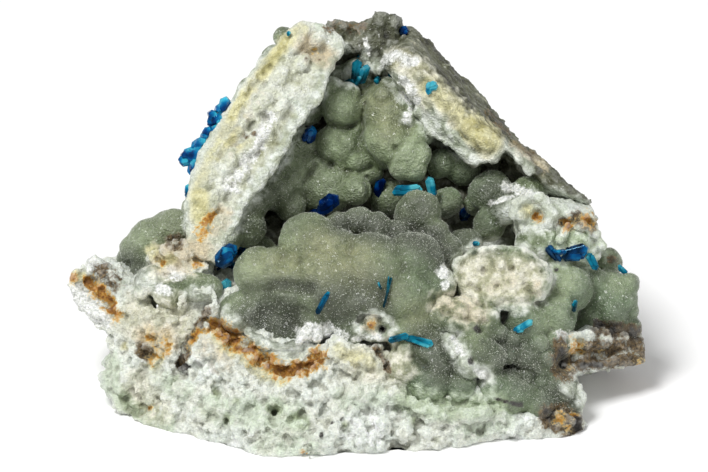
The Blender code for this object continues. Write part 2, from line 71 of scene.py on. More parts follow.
# Corners of the broken masses, each the hull of its corners.
MASSES = {
    "core": [
        (-11.5, -3.8, 0.0), (-7.0, -3.0, 0.8), (0.0, -1.6, 0.8), (5.0, -1.4, 0.4), (11.5, -2.0, -0.6),
        (13.0, -5.5, -0.6), (-12.6, -9.5, -0.8), (-11.5, -11.5, 0.5), (-5.0, -12.9, 3.0),
        (5.0, -12.5, 2.6), (12.5, -11.6, 1.0), (-10.5, -1.0, -8.0), (10.5, -0.6, -8.5),
        (-11.0, -5.0, -12.6), (11.0, -5.0, -12.6),
    ],
    "back_wall": [
        (-8.0, -1.5, -5.4), (-7.0, 3.0, -5.6), (-3.5, 9.5, -6.4), (-1.5, 11.6, -6.8), (2.0, 12.0, -6.8),
        (4.5, 10.5, -6.8), (9.5, 5.0, -6.4), (12.5, 1.2, -5.4), (12.5, -2.0, -5.0),
        (-9.6, -3.0, -12.2), (-8.0, 2.2, -10.6), (-2.2, 8.4, -9.6), (2.4, 8.8, -9.6), (8.2, 3.8, -10.4),
        (11.6, 0.0, -10.6), (11.2, -4.0, -12.4),
    ],
    "left_wall_foot": [
        (-9.8, 1.7, 0.2), (-9.8, -0.6, 0.4), (-9.1, -1.5, 0.5), (-8.3, -1.6, 0.6), (-7.8, -0.4, 0.5),
        (-6.8, 1.8, 0.0), (-6.2, 2.4, -0.2), (-8.8, 3.3, -0.2), (-9.8, 2.8, -0.2),
        (-9.6, 2.5, -6.0), (-9.8, -1.5, -6.0), (-6.8, 2.0, -6.4), (-7.5, -1.8, -6.4),
    ],
    "left_wall_middle": [
        (-9.7, 3.0, -0.2), (-9.1, 5.1, -0.5), (-8.2, 6.5, -0.7), (-7.2, 8.1, -1.0), (-3.2, 6.9, -1.2),
        (-3.8, 5.9, -1.0), (-4.4, 4.5, -0.8), (-5.5, 3.0, -0.5), (-6.1, 2.3, -0.3), (-8.2, 2.1, 0.0),
        (-9.3, 3.0, -6.5), (-7.8, 7.2, -7.0), (-4.4, 6.6, -7.5), (-6.4, 2.5, -6.8),
    ],
    "left_wall_top": [
        (-7.2, 8.1, -1.0), (-6.1, 9.5, -1.3), (-5.4, 10.5, -1.6), (-4.6, 11.4, -1.9), (-3.8, 12.3, -2.2),
        (-3.1, 12.8, -2.4), (-1.9, 12.6, -2.5), (-0.9, 12.1, -2.5), (-0.4, 11.5, -2.5), (-0.8, 10.8, -2.3),
        (-1.7, 9.6, -2.0), (-2.1, 8.1, -1.7), (-3.2, 6.9, -1.2),
        (-7.0, 7.6, -7.0), (-4.2, 11.4, -7.2), (-1.2, 11.6, -7.6), (-3.2, 7.2, -7.6),
    ],
    "summit_ridge": [
        (-1.6, 12.6, -4.6), (1.0, 12.75, -4.8), (-1.6, 11.4, -4.6), (1.0, 11.0, -5.2),
        (-1.6, 12.0, -8.4), (1.0, 12.2, -8.6), (-1.8, 9.6, -9.0), (1.2, 9.6, -9.0),
    ],
    "summit_block": [
        (0.2, 12.3, -4.4), (1.4, 13.15, -4.6), (2.7, 13.25, -4.6), (2.7, 11.4, -4.2), (1.6, 9.4, -4.2),
        (0.5, 9.8, -4.6), (2.95, 11.5, -5.6), (2.95, 12.3, -6.6), (0.3, 12.4, -7.2), (2.6, 12.9, -7.0),
        (2.5, 9.4, -8.4), (0.3, 9.4, -8.4),
    ],
    "right_wall": [
        (1.9, 10.2, -2.6), (2.7, 11.1, -2.7), (3.4, 11.1, -2.6), (4.4, 10.2, -2.3), (5.4, 8.9, -1.9),
        (6.5, 7.4, -1.6), (7.7, 6.5, -1.4), (8.8, 5.5, -1.2), (8.4, 4.9, -1.3), (7.3, 4.5, -1.5),
        (5.8, 5.6, -2.1), (4.6, 6.4, -2.6), (3.8, 7.9, -2.9), (2.7, 8.9, -2.9),
        (2.8, 12.5, -6.8), (3.4, 12.6, -7.0), (5.1, 10.9, -7.2), (7.4, 8.7, -7.4), (10.0, 5.7, -7.2),
        (8.5, 3.8, -7.4), (3.0, 8.2, -8.0),
    ],
    "right_wall_low": [
        (8.6, 5.6, -1.4), (10.2, 4.0, -1.3), (11.5, 2.9, -1.2), (13.0, 2.3, -1.2), (14.1, 1.9, -1.4),
        (10.1, 5.7, -6.6), (11.9, 3.8, -6.2), (14.2, 2.0, -5.0), (9.4, 3.6, -6.6), (12.4, 1.6, -5.6),
    ],
    "right_shoulder": [
        (9.3, 1.6, 0.4), (10.8, 2.3, 0.2), (12.1, 1.5, 0.4), (13.2, 1.6, 0.0), (14.3, 1.1, -0.2),
        (14.1, 1.75, -1.8), (13.7, 2.0, -4.0), (14.7, -1.3, -0.4), (14.0, -1.7, 0.0), (11.5, -0.8, 0.6),
        (9.8, -0.4, 0.6), (9.5, 1.4, -6.0), (14.0, 1.3, -4.6), (14.4, -1.6, -4.6), (10.0, -1.6, -6.0),
    ],
    "left_wing": [
        (-17.0, -2.75, -1.6), (-16.4, -2.0, -2.0), (-15.3, -1.2, -2.6), (-14.8, -1.5, -2.2),
        (-13.9, -2.0, -1.5), (-16.6, -3.6, -1.3), (-15.3, -4.8, -0.9), (-14.2, -6.2, -0.7),
        (-12.0, -3.2, -0.4), (-12.0, -6.5, 0.4), (-15.6, -2.6, -5.0), (-14.5, -1.9, -6.4),
        (-12.0, -1.8, -8.0), (-14.5, -4.8, -6.0), (-12.0, -7.0, -8.0),
    ],
    "left_foot_rubble": [
        (-11.9, -0.9, -0.6), (-10.5, -0.2, -0.3), (-9.0, -0.6, 0.2), (-8.3, -1.8, 0.8), (-9.0, -2.6, 1.0),
        (-10.8, -2.3, 0.6), (-11.8, -1.9, 0.0), (-11.5, -0.8, -5.0), (-8.5, -0.8, -6.0),
        (-8.5, -3.5, -6.0), (-12.0, -3.5, -6.0),
    ],
    "bottom_left": [
        (-14.2, -6.0, -0.9), (-14.3, -8.3, -1.1), (-14.6, -9.3, -0.9), (-13.8, -10.4, -0.1),
        (-12.0, -11.4, 0.7), (-9.5, -12.1, 1.7), (-8.0, -11.8, 1.8), (-8.8, -5.2, 1.4), (-12.0, -4.4, 0.3),
        (-13.6, -6.0, -6.5), (-13.4, -8.0, -8.0), (-9.0, -6.0, -10.0),
    ],
    "bottom_rim": [
        (-8.8, -5.6, 1.8), (-6.0, -6.8, 2.6), (-3.0, -7.6, 3.2), (1.0, -6.6, 3.3), (4.5, -9.2, 3.4),
        (8.5, -9.8, 2.6), (-9.4, -12.1, 1.8), (-5.4, -13.05, 3.9), (-3.8, -12.9, 3.9), (0.5, -12.7, 3.6),
        (4.5, -12.6, 3.2), (8.4, -12.1, 2.4), (-8.0, -9.0, -5.0), (8.0, -9.0, -5.0),
    ],
    "bottom_right": [
        (8.2, -9.8, 2.2), (8.6, -12.1, 2.3), (10.5, -11.6, 2.0), (12.7, -12.0, 1.8), (13.75, -11.3, 1.3),
        (13.4, -10.0, 1.0), (12.4, -8.4, 0.9), (9.4, -8.4, 1.6), (12.6, -8.8, -4.0), (9.0, -8.0, -6.0),
        (12.4, -10.5, -2.5),
    ],
    "right_wing": [
        (12.2, -6.0, 0.9), (12.1, -7.7, 0.9), (12.7, -8.2, 0.5), (15.0, -7.65, -0.7), (17.3, -7.5, -1.7),
        (17.3, -6.5, -1.9), (16.8, -5.3, -2.1), (14.0, -5.2, -1.2), (13.0, -6.0, -6.0),
        (16.4, -5.0, -4.8), (16.8, -7.0, -4.2), (13.0, -8.2, -5.0),
    ],
}

# Bubbles as (across, up, radius, front): front is how far out the bubble's nearest point lies.
LOBES = {
    "vault": [
        (-0.8, 7.65, 1.25, -3.05), (-0.9, 5.4, 1.42, -3.2), (2.1, 7.3, 1.9, -2.8), (1.9, 5.5, 1.5, -2.3),
        (3.3, 4.75, 1.1, -2.1), (3.75, 4.8, 0.8, -2.15), (3.5, 3.95, 0.8, -2.2), (2.85, 4.0, 0.75, -2.2),
        (2.7, 4.9, 0.9, -2.1), (3.9, 6.2, 0.9, -2.9), (0.35, 5.1, 1.1, -3.7), (0.5, 6.6, 0.9, -3.8),
        (0.9, 3.9, 0.9, -3.7), (-1.3, 8.6, 0.8, -3.6), (-0.3, 8.5, 0.65, -3.6), (0.2, 9.6, 1.0, -4.85),
        (0.3, 4.4, 1.0, -3.4), (-1.6, 3.0, 1.7, -2.9), (0.15, 2.7, 0.95, -2.7),
        (-4.1, 3.6, 1.4, -3.1), (-3.1, 5.6, 0.9, -3.4), (-3.8, 1.8, 0.9, -2.6), (-2.7, 7.3, 0.8, -4.2),
        (5.2, 4.3, 0.95, -4.1), (6.4, 4.0, 1.1, -4.4), (0.9, 8.4, 1.0, -4.6), (1.8, 8.6, 0.9, -4.2),
        (-0.8, 9.2, 1.0, -5.4), (2.0, 2.3, 1.1, -4.2), (-2.4, 2.4, 1.0, -3.6), (3.2, 9.0, 0.8, -3.6),
        (-3.8, 5.0, 1.5, -3.5), (-3.9, 3.4, 1.5, -2.7), (-2.6, 3.8, 1.1, -3.5), (-4.7, 2.6, 1.2, -2.1),
    ],
    "left_inner": [
        (-6.3, 0.45, 1.2, -0.4), (-6.1, 1.7, 0.95, -0.9), (-5.3, 2.2, 0.8, -1.6), (-7.4, -0.3, 0.8, 0.3),
    ],
    "right_inner": [
        (8.1, 2.6, 1.35, -1.9), (5.5, 2.0, 0.85, -2.7), (8.0, 0.65, 1.0, -1.4), (10.2, 2.6, 0.9, -1.6),
        (10.8, 3.0, 0.8, -2.0), (9.0, 1.5, 0.9, -1.0), (6.6, -0.6, 1.1, -0.4), (7.2, 1.9, 0.8, -3.4),
    ],
    "centre": [
        (-5.6, -2.15, 1.5, 3.2), (-4.9, -2.0, 1.3, 3.3), (-2.6, -0.5, 1.9, 3.3), (-1.2, -1.2, 1.7, 3.6),
        (-0.9, 0.8, 0.75, 1.7), (0.25, 0.9, 0.9, 1.6), (1.4, 0.5, 0.85, 1.8), (2.6, 0.2, 0.8, 1.6),
        (3.8, 1.3, 1.4, 1.3), (4.8, 0.3, 0.8, 1.3), (-1.4, -2.5, 2.4, 4.2), (1.1, -2.0, 2.2, 4.2),
        (3.4, -1.6, 1.9, 3.5), (3.0, -3.5, 1.9, 4.0), (0.6, -3.9, 1.8, 4.0), (4.8, -2.9, 1.2, 3.2),
        (-0.8, -4.2, 1.3, 3.5), (-3.6, -2.6, 1.5, 3.6), (5.3, -0.9, 1.1, 1.6),
    ],
    "below_centre": [
        (-4.1, -3.7, 1.2, 2.5), (-3.0, -3.8, 1.1, 2.6), (-4.4, -5.1, 1.9, 3.0), (-5.6, -4.6, 1.3, 2.6),
        (-6.7, -4.5, 1.3, 2.3), (-2.6, -5.4, 1.1, 3.1), (-0.5, -4.9, 1.2, 3.4), (-0.3, -5.8, 0.8, 3.4),
        (3.3, -5.5, 1.6, 3.7), (1.3, -5.2, 1.1, 3.7), (4.6, -7.0, 1.7, 3.9), (4.3, -8.3, 1.5, 3.8),
        (2.9, -7.6, 1.2, 3.9), (6.2, -8.6, 1.1, 3.4),
    ],
    "right_middle": [
        (7.8, -2.5, 1.9, 3.2), (9.4, -2.4, 1.8, 3.1), (10.4, -2.5, 1.3, 2.8), (6.2, -4.7, 1.2, 3.6),
        (5.2, -4.8, 1.0, 3.4), (7.6, -5.1, 1.1, 3.3), (7.0, -6.7, 1.3, 3.9), (6.6, -7.6, 0.9, 3.9),
        (7.9, -7.2, 1.0, 3.5), (10.1, -5.2, 1.3, 2.5), (9.8, -4.5, 0.8, 2.5), (10.3, -7.2, 1.8, 2.3),
        (8.9, -6.3, 1.1, 2.3), (9.2, -9.2, 1.4, 3.2), (8.2, -8.9, 1.1, 3.3), (11.8, -9.2, 1.6, 1.9),
        (12.6, -9.9, 1.0, 1.6), (10.8, -9.9, 1.0, 2.6),
    ],
    "right_domes": [
        (12.5, -3.1, 1.55, 1.1), (11.8, -4.6, 1.45, 1.7), (11.7, -6.2, 1.2, 1.6), (15.1, -3.6, 1.65, -0.4),
        (16.0, -3.8, 0.85, -0.6), (15.0, -1.6, 0.9, -2.3), (14.3, -4.6, 1.1, -0.8), (15.6, -5.1, 1.0, -1.0),
        (16.3, -5.4, 0.75, -1.3), (13.6, -5.4, 1.0, -1.4), (10.8, -0.4, 1.4, 1.1), (13.0, -0.3, 1.2, 0.6),
        (13.5, -1.7, 0.9, -0.4), (16.2, -2.8, 0.75, -1.0), (15.3, -4.3, 0.9, -0.2), (14.3, -2.7, 0.8, -0.4),
        (16.3, -4.4, 0.6, -0.9), (12.0, -1.9, 0.9, 0.5),
    ],
    "left_domes": [
        (-11.9, -0.5, 1.6, -1.4), (-11.0, 0.45, 1.1, -1.8), (-10.5, 0.5, 1.1, -1.2),
        (-11.4, -1.4, 1.0, -0.8), (-13.1, -1.6, 1.0, -3.0), (-12.2, -2.3, 1.1, -1.8),
        (-12.0, -2.6, 0.9, 0.8), (-10.8, -3.3, 1.1, 1.0), (-9.3, -3.0, 0.95, 1.3), (-8.5, -3.1, 0.8, 1.5),
        (-12.9, -0.7, 0.9, -2.2),
    ],
    "floor": [
        (-4.5, -1.5, 1.0, -1.0), (-2.8, -1.6, 1.0, -0.3), (-1.0, -1.4, 1.0, -0.8), (0.8, -1.5, 1.1, -0.2),
        (2.6, -1.5, 1.0, -0.6), (4.4, -1.4, 1.0, -0.4), (-3.6, -1.3, 1.0, -2.5), (-1.8, -1.5, 1.1, -2.2),
        (0.2, -1.4, 1.1, -2.4), (2.0, -1.5, 1.0, -2.0), (4.0, -1.4, 1.1, -1.9), (5.8, -1.0, 1.0, -1.6),
        (-5.4, -1.0, 1.0, -1.9), (-0.6, -0.6, 1.1, -3.6), (1.6, -0.4, 1.1, -3.7), (3.6, -0.2, 1.1, -3.6),
        (-2.8, -0.4, 1.1, -3.9),
    ],
    "outer_left": [
        (-4.2, 11.85, 0.72, -4.0), (-6.0, 8.4, 1.1, -3.6), (-7.3, 6.0, 1.1, -3.4), (-8.3, 4.0, 1.1, -3.1),
        (-8.9, 2.3, 1.0, -2.8), (-4.8, 10.0, 1.05, -4.0), (-9.3, 0.8, 1.1, -2.8), (-5.3, 9.2, 1.0, -5.2),
        (-6.7, 7.2, 1.1, -4.6), (-7.9, 5.0, 1.1, -4.4), (-8.6, 3.1, 1.1, -4.2), (-9.2, 1.5, 1.1, -4.0),
        (-6.2, 8.0, 1.0, -5.9), (-7.4, 6.0, 1.0, -5.8), (-8.3, 4.1, 1.0, -5.6), (-9.0, 2.2, 1.1, -5.4),
        (-4.6, 10.6, 0.9, -5.4), (-9.6, 0.2, 1.2, -4.4),
    ],
}

# Rows of small bubbles along broken edges: radius, then the edge's points as (across, up, out).
RIMS = {
    "left_wall_inner": (0.3, [
        (-8.2, -1.4, 0.3), (-7.5, -0.1, 0.2), (-6.6, 1.7, -0.2), (-5.6, 3.3, -0.6), (-4.5, 4.7, -1.0),
        (-3.9, 6.0, -1.2), (-3.1, 7.1, -1.5), (-2.2, 8.2, -1.9), (-1.8, 9.6, -2.2), (-0.9, 10.9, -2.5),
        (-0.7, 11.6, -2.7),
    ]),
    "left_wall_outer": (0.22, [
        (-9.6, -0.3, 0.0), (-9.75, 1.6, -0.2), (-9.5, 3.4, -0.6), (-8.8, 5.1, -0.9), (-8.0, 6.4, -1.1),
        (-7.1, 7.9, -1.4), (-6.0, 9.4, -1.7), (-5.2, 10.4, -2.0), (-4.5, 11.2, -2.3),
    ]),
    "right_wall_lower": (0.4, [
        (3.9, 7.4, -3.0), (4.8, 6.2, -2.9), (5.9, 5.4, -2.4), (7.2, 4.5, -1.8), (8.2, 4.7, -1.6),
        (8.9, 5.4, -1.6),
    ]),
    "cream_oval": (0.25, [
        (5.9, -2.6, 2.2), (6.1, -1.5, 2.1), (7.0, -0.9, 2.1), (8.4, -0.7, 2.1), (9.8, -0.8, 2.0),
        (10.9, -1.5, 1.8), (11.4, -2.5, 1.6), (11.0, -3.5, 1.8), (9.8, -4.0, 2.1), (8.4, -4.2, 2.3),
    ]),
    "left_scallop": (0.3, [
        (-14.3, -2.3, -1.3), (-13.9, -2.9, -1.0), (-13.3, -3.2, -0.8), (-12.8, -3.4, -0.5),
    ]),
    "broken_lobe": (0.26, [
        (-10.2, -4.1, 1.0), (-9.9, -3.4, 1.0), (-9.2, -3.1, 1.2), (-8.4, -3.2, 1.5), (-8.0, -3.9, 1.7),
        (-8.5, -4.5, 1.7),
    ]),
    "shoulder_lobe": (0.3, [
        (9.3, 1.2, 0.6), (9.6, 1.9, 0.4), (10.4, 2.4, 0.3), (11.3, 2.1, 0.3), (11.7, 1.3, 0.5),
        (11.3, 0.5, 0.7),
    ]),
    "drape": (0.3, [
        (12.1, -0.2, 0.9), (12.6, 0.6, 0.6), (13.4, 0.6, 0.4), (14.2, 0.1, 0.1), (14.7, -0.9, -0.2),
    ]),
    "low_right": (0.3, [(12.2, -8.5, 1.1), (12.9, -8.7, 0.9), (13.3, -9.3, 0.8), (13.4, -10.2, 1.0)]),
    "wing_edge": (0.28, [(12.2, -6.0, 0.9), (12.9, -5.8, 0.7), (13.8, -5.7, 0.1), (14.8, -5.7, -0.5)]),
    "bowl_edge": (0.4, [
        (2.4, -9.2, 3.9), (3.6, -9.9, 3.8), (5.2, -10.4, 3.6), (6.9, -10.5, 3.3), (8.2, -10.2, 2.9),
    ]),
    "hollow_lobe": (0.3, [
        (-6.2, -5.6, 2.7), (-5.4, -6.3, 2.9), (-4.3, -6.5, 3.1), (-3.2, -6.2, 3.2), (-2.8, -5.4, 3.2),
    ]),
}

# Knobs that sit on each piece: (across, up, radius). Flakes are flat and long: (across, up, half their
# width, how many times as long, turn in degrees).
KNOBS = {
    "broken_matrix": [
        (-8.3, -9.9, 0.62), (-7.5, -10.2, 0.5), (-6.8, -10.5, 0.34), (-8.9, -10.4, 0.45),
        (-6.1, -9.4, 0.55), (-5.2, -9.2, 0.5), (-4.3, -9.5, 0.6), (-10.3, -9.0, 0.5), (-11.6, -8.6, 0.6),
        (-2.2, -9.4, 0.6), (-1.2, -9.0, 0.55), (-0.1, -9.3, 0.6), (0.9, -8.7, 0.5), (1.9, -9.5, 0.6),
        (-3.3, -11.3, 0.5), (-2.2, -11.9, 0.45), (0.3, -11.3, 0.6), (1.6, -11.0, 0.6), (2.9, -11.5, 0.65),
        (4.4, -11.6, 0.6), (6.2, -11.6, 0.5), (-13.2, -8.3, 0.6), (-12.6, -7.4, 0.5), (-10.8, -10.9, 0.5),
        (10.2, -10.9, 0.6), (11.4, -11.2, 0.45), (12.5, -10.9, 0.5), (-13.4, -4.3, 0.4), (-12.2, -4.6, 0.5),
        (-10.9, -5.2, 0.45), (-11.6, -5.6, 0.4), (-13.2, -5.4, 0.45), (-10.7, -6.9, 0.5), (-7.6, -7.4, 0.5),
        (-6.6, -8.3, 0.55), (-8.6, -8.0, 0.5), (1.4, -7.6, 0.45), (2.4, -8.4, 0.4), (-3.0, -8.7, 0.5),
    ],
    "left_rubble": [
        (-15.6, -2.1, 0.4), (-14.6, -1.9, 0.35), (-13.6, -3.3, 0.4), (-15.9, -3.9, 0.4),
        (-14.9, -4.6, 0.45), (-10.9, -0.9, 0.5), (-10.1, -1.2, 0.45), (-9.4, -1.9, 0.5), (-11.0, -2.0, 0.4),
        (-9.9, -2.4, 0.4), (-8.8, -0.9, 0.4),
    ],
    "right_rubble": [
        (9.8, 1.2, 0.4), (11.0, 0.4, 0.45), (12.4, 0.0, 0.6), (13.3, -0.3, 0.55), (12.6, -6.4, 0.5),
        (13.6, -6.3, 0.45), (14.6, -6.2, 0.4), (13.2, -7.3, 0.45), (15.9, -6.0, 0.4), (11.6, 1.2, 0.4),
        (12.6, 1.3, 0.35),
    ],
    "left_wall": [
        (-1.5, 10.0, 0.31, 2.6, 66), (-1.9, 9.0, 0.34, 2.4, 74), (-2.2, 8.1, 0.31, 2.6, 60),
        (-3.0, 7.0, 0.34, 2.2, 52), (-3.7, 6.2, 0.31, 2.0, 68), (-4.2, 5.2, 0.36, 2.2, 55),
        (-4.9, 4.1, 0.42, 2.4, 60), (-5.5, 3.3, 0.42, 2.2, 64), (-5.2, 3.0, 0.31, 2.6, 70),
        (-6.3, 1.9, 0.39, 2.4, 62), (-6.9, 0.9, 0.36, 2.2, 66), (-7.3, -0.1, 0.36, 2.0, 70),
        (-3.1, 10.2, 0.42, 1.6, 50), (-4.4, 9.4, 0.45, 1.8, 55), (-5.4, 7.9, 0.42, 1.8, 55),
        (-4.3, 7.6, 0.42, 1.6, 60), (-6.0, 5.4, 0.48, 1.8, 58), (-5.2, 6.1, 0.42, 1.6, 50),
        (-7.4, 4.2, 0.48, 1.8, 62), (-6.6, 3.6, 0.42, 1.6, 60), (-8.4, 2.0, 0.45, 1.8, 75),
        (-7.9, 0.7, 0.42, 1.6, 75), (-2.2, 11.6, 0.42, 1.5, 45), (-3.4, 11.4, 0.42, 1.8, 50),
    ],
    "right_wall": [
        (3.0, 10.3, 0.35), (3.8, 9.5, 0.3), (2.4, 10.6, 0.3), (3.4, 10.9, 0.25), (2.9, 9.5, 0.35),
        (3.3, 8.6, 0.35), (4.6, 8.0, 0.4, 1.6, -50), (5.2, 7.2, 0.35, 1.8, -40), (6.8, 6.3, 0.5, 1.5, -45),
        (7.7, 5.6, 0.5, 1.4, -40), (5.6, 6.2, 0.3, 1.6, -60), (4.4, 9.3, 0.25, 3.0, -48),
        (5.6, 8.1, 0.25, 3.0, -48), (6.9, 7.0, 0.25, 2.6, -42), (9.6, 4.7, 0.3, 2.0, -60),
        (10.2, 4.0, 0.3, 2.0, -65), (9.6, 5.4, 0.3, 2.4, -45), (11.2, 4.0, 0.3, 2.4, -42),
        (12.6, 2.7, 0.3, 2.2, -35),
    ],
    "centre_crust": [
        (-2.8, -5.7, 0.45), (-2.2, -5.9, 0.4), (-1.6, -5.6, 0.35), (5.2, -2.1, 0.36), (5.4, -2.9, 0.34),
        (0.3, -5.5, 0.4), (1.0, -5.0, 0.4), (1.9, -5.0, 0.35), (2.3, -5.7, 0.4), (0.7, -6.3, 0.4),
        (5.6, -5.9, 0.4), (5.8, -6.8, 0.45), (6.4, -7.5, 0.4), (7.2, -8.1, 0.45), (3.0, -6.6, 0.5),
    ],
    "right_crust": [
        (5.8, -5.8, 0.4, 1.6, 20), (6.1, -6.6, 0.4, 1.5, -35), (6.5, -7.4, 0.4, 1.4, -60),
        (7.3, -8.0, 0.3, 1.7, -40), (5.3, -3.9, 0.5), (6.2, -4.4, 0.5), (7.2, -4.5, 0.45), (8.1, -4.7, 0.4),
        (6.9, -5.4, 0.4), (5.7, -5.2, 0.45), (8.5, -5.6, 0.5), (9.3, -6.0, 0.5), (9.0, -7.0, 0.55),
        (10.8, -6.3, 0.6), (11.3, -7.2, 0.5), (10.1, -8.2, 0.5), (11.0, -8.6, 0.45), (12.4, -9.2, 0.5),
    ],
    "vault_crust": [(3.65, 8.0, 0.42), (3.15, 7.0, 0.5), (1.7, 8.3, 0.5), (2.5, 8.9, 0.4)],
    "left_crust": [(-9.6, -0.3, 0.5), (-12.5, -3.3, 0.45)],
}

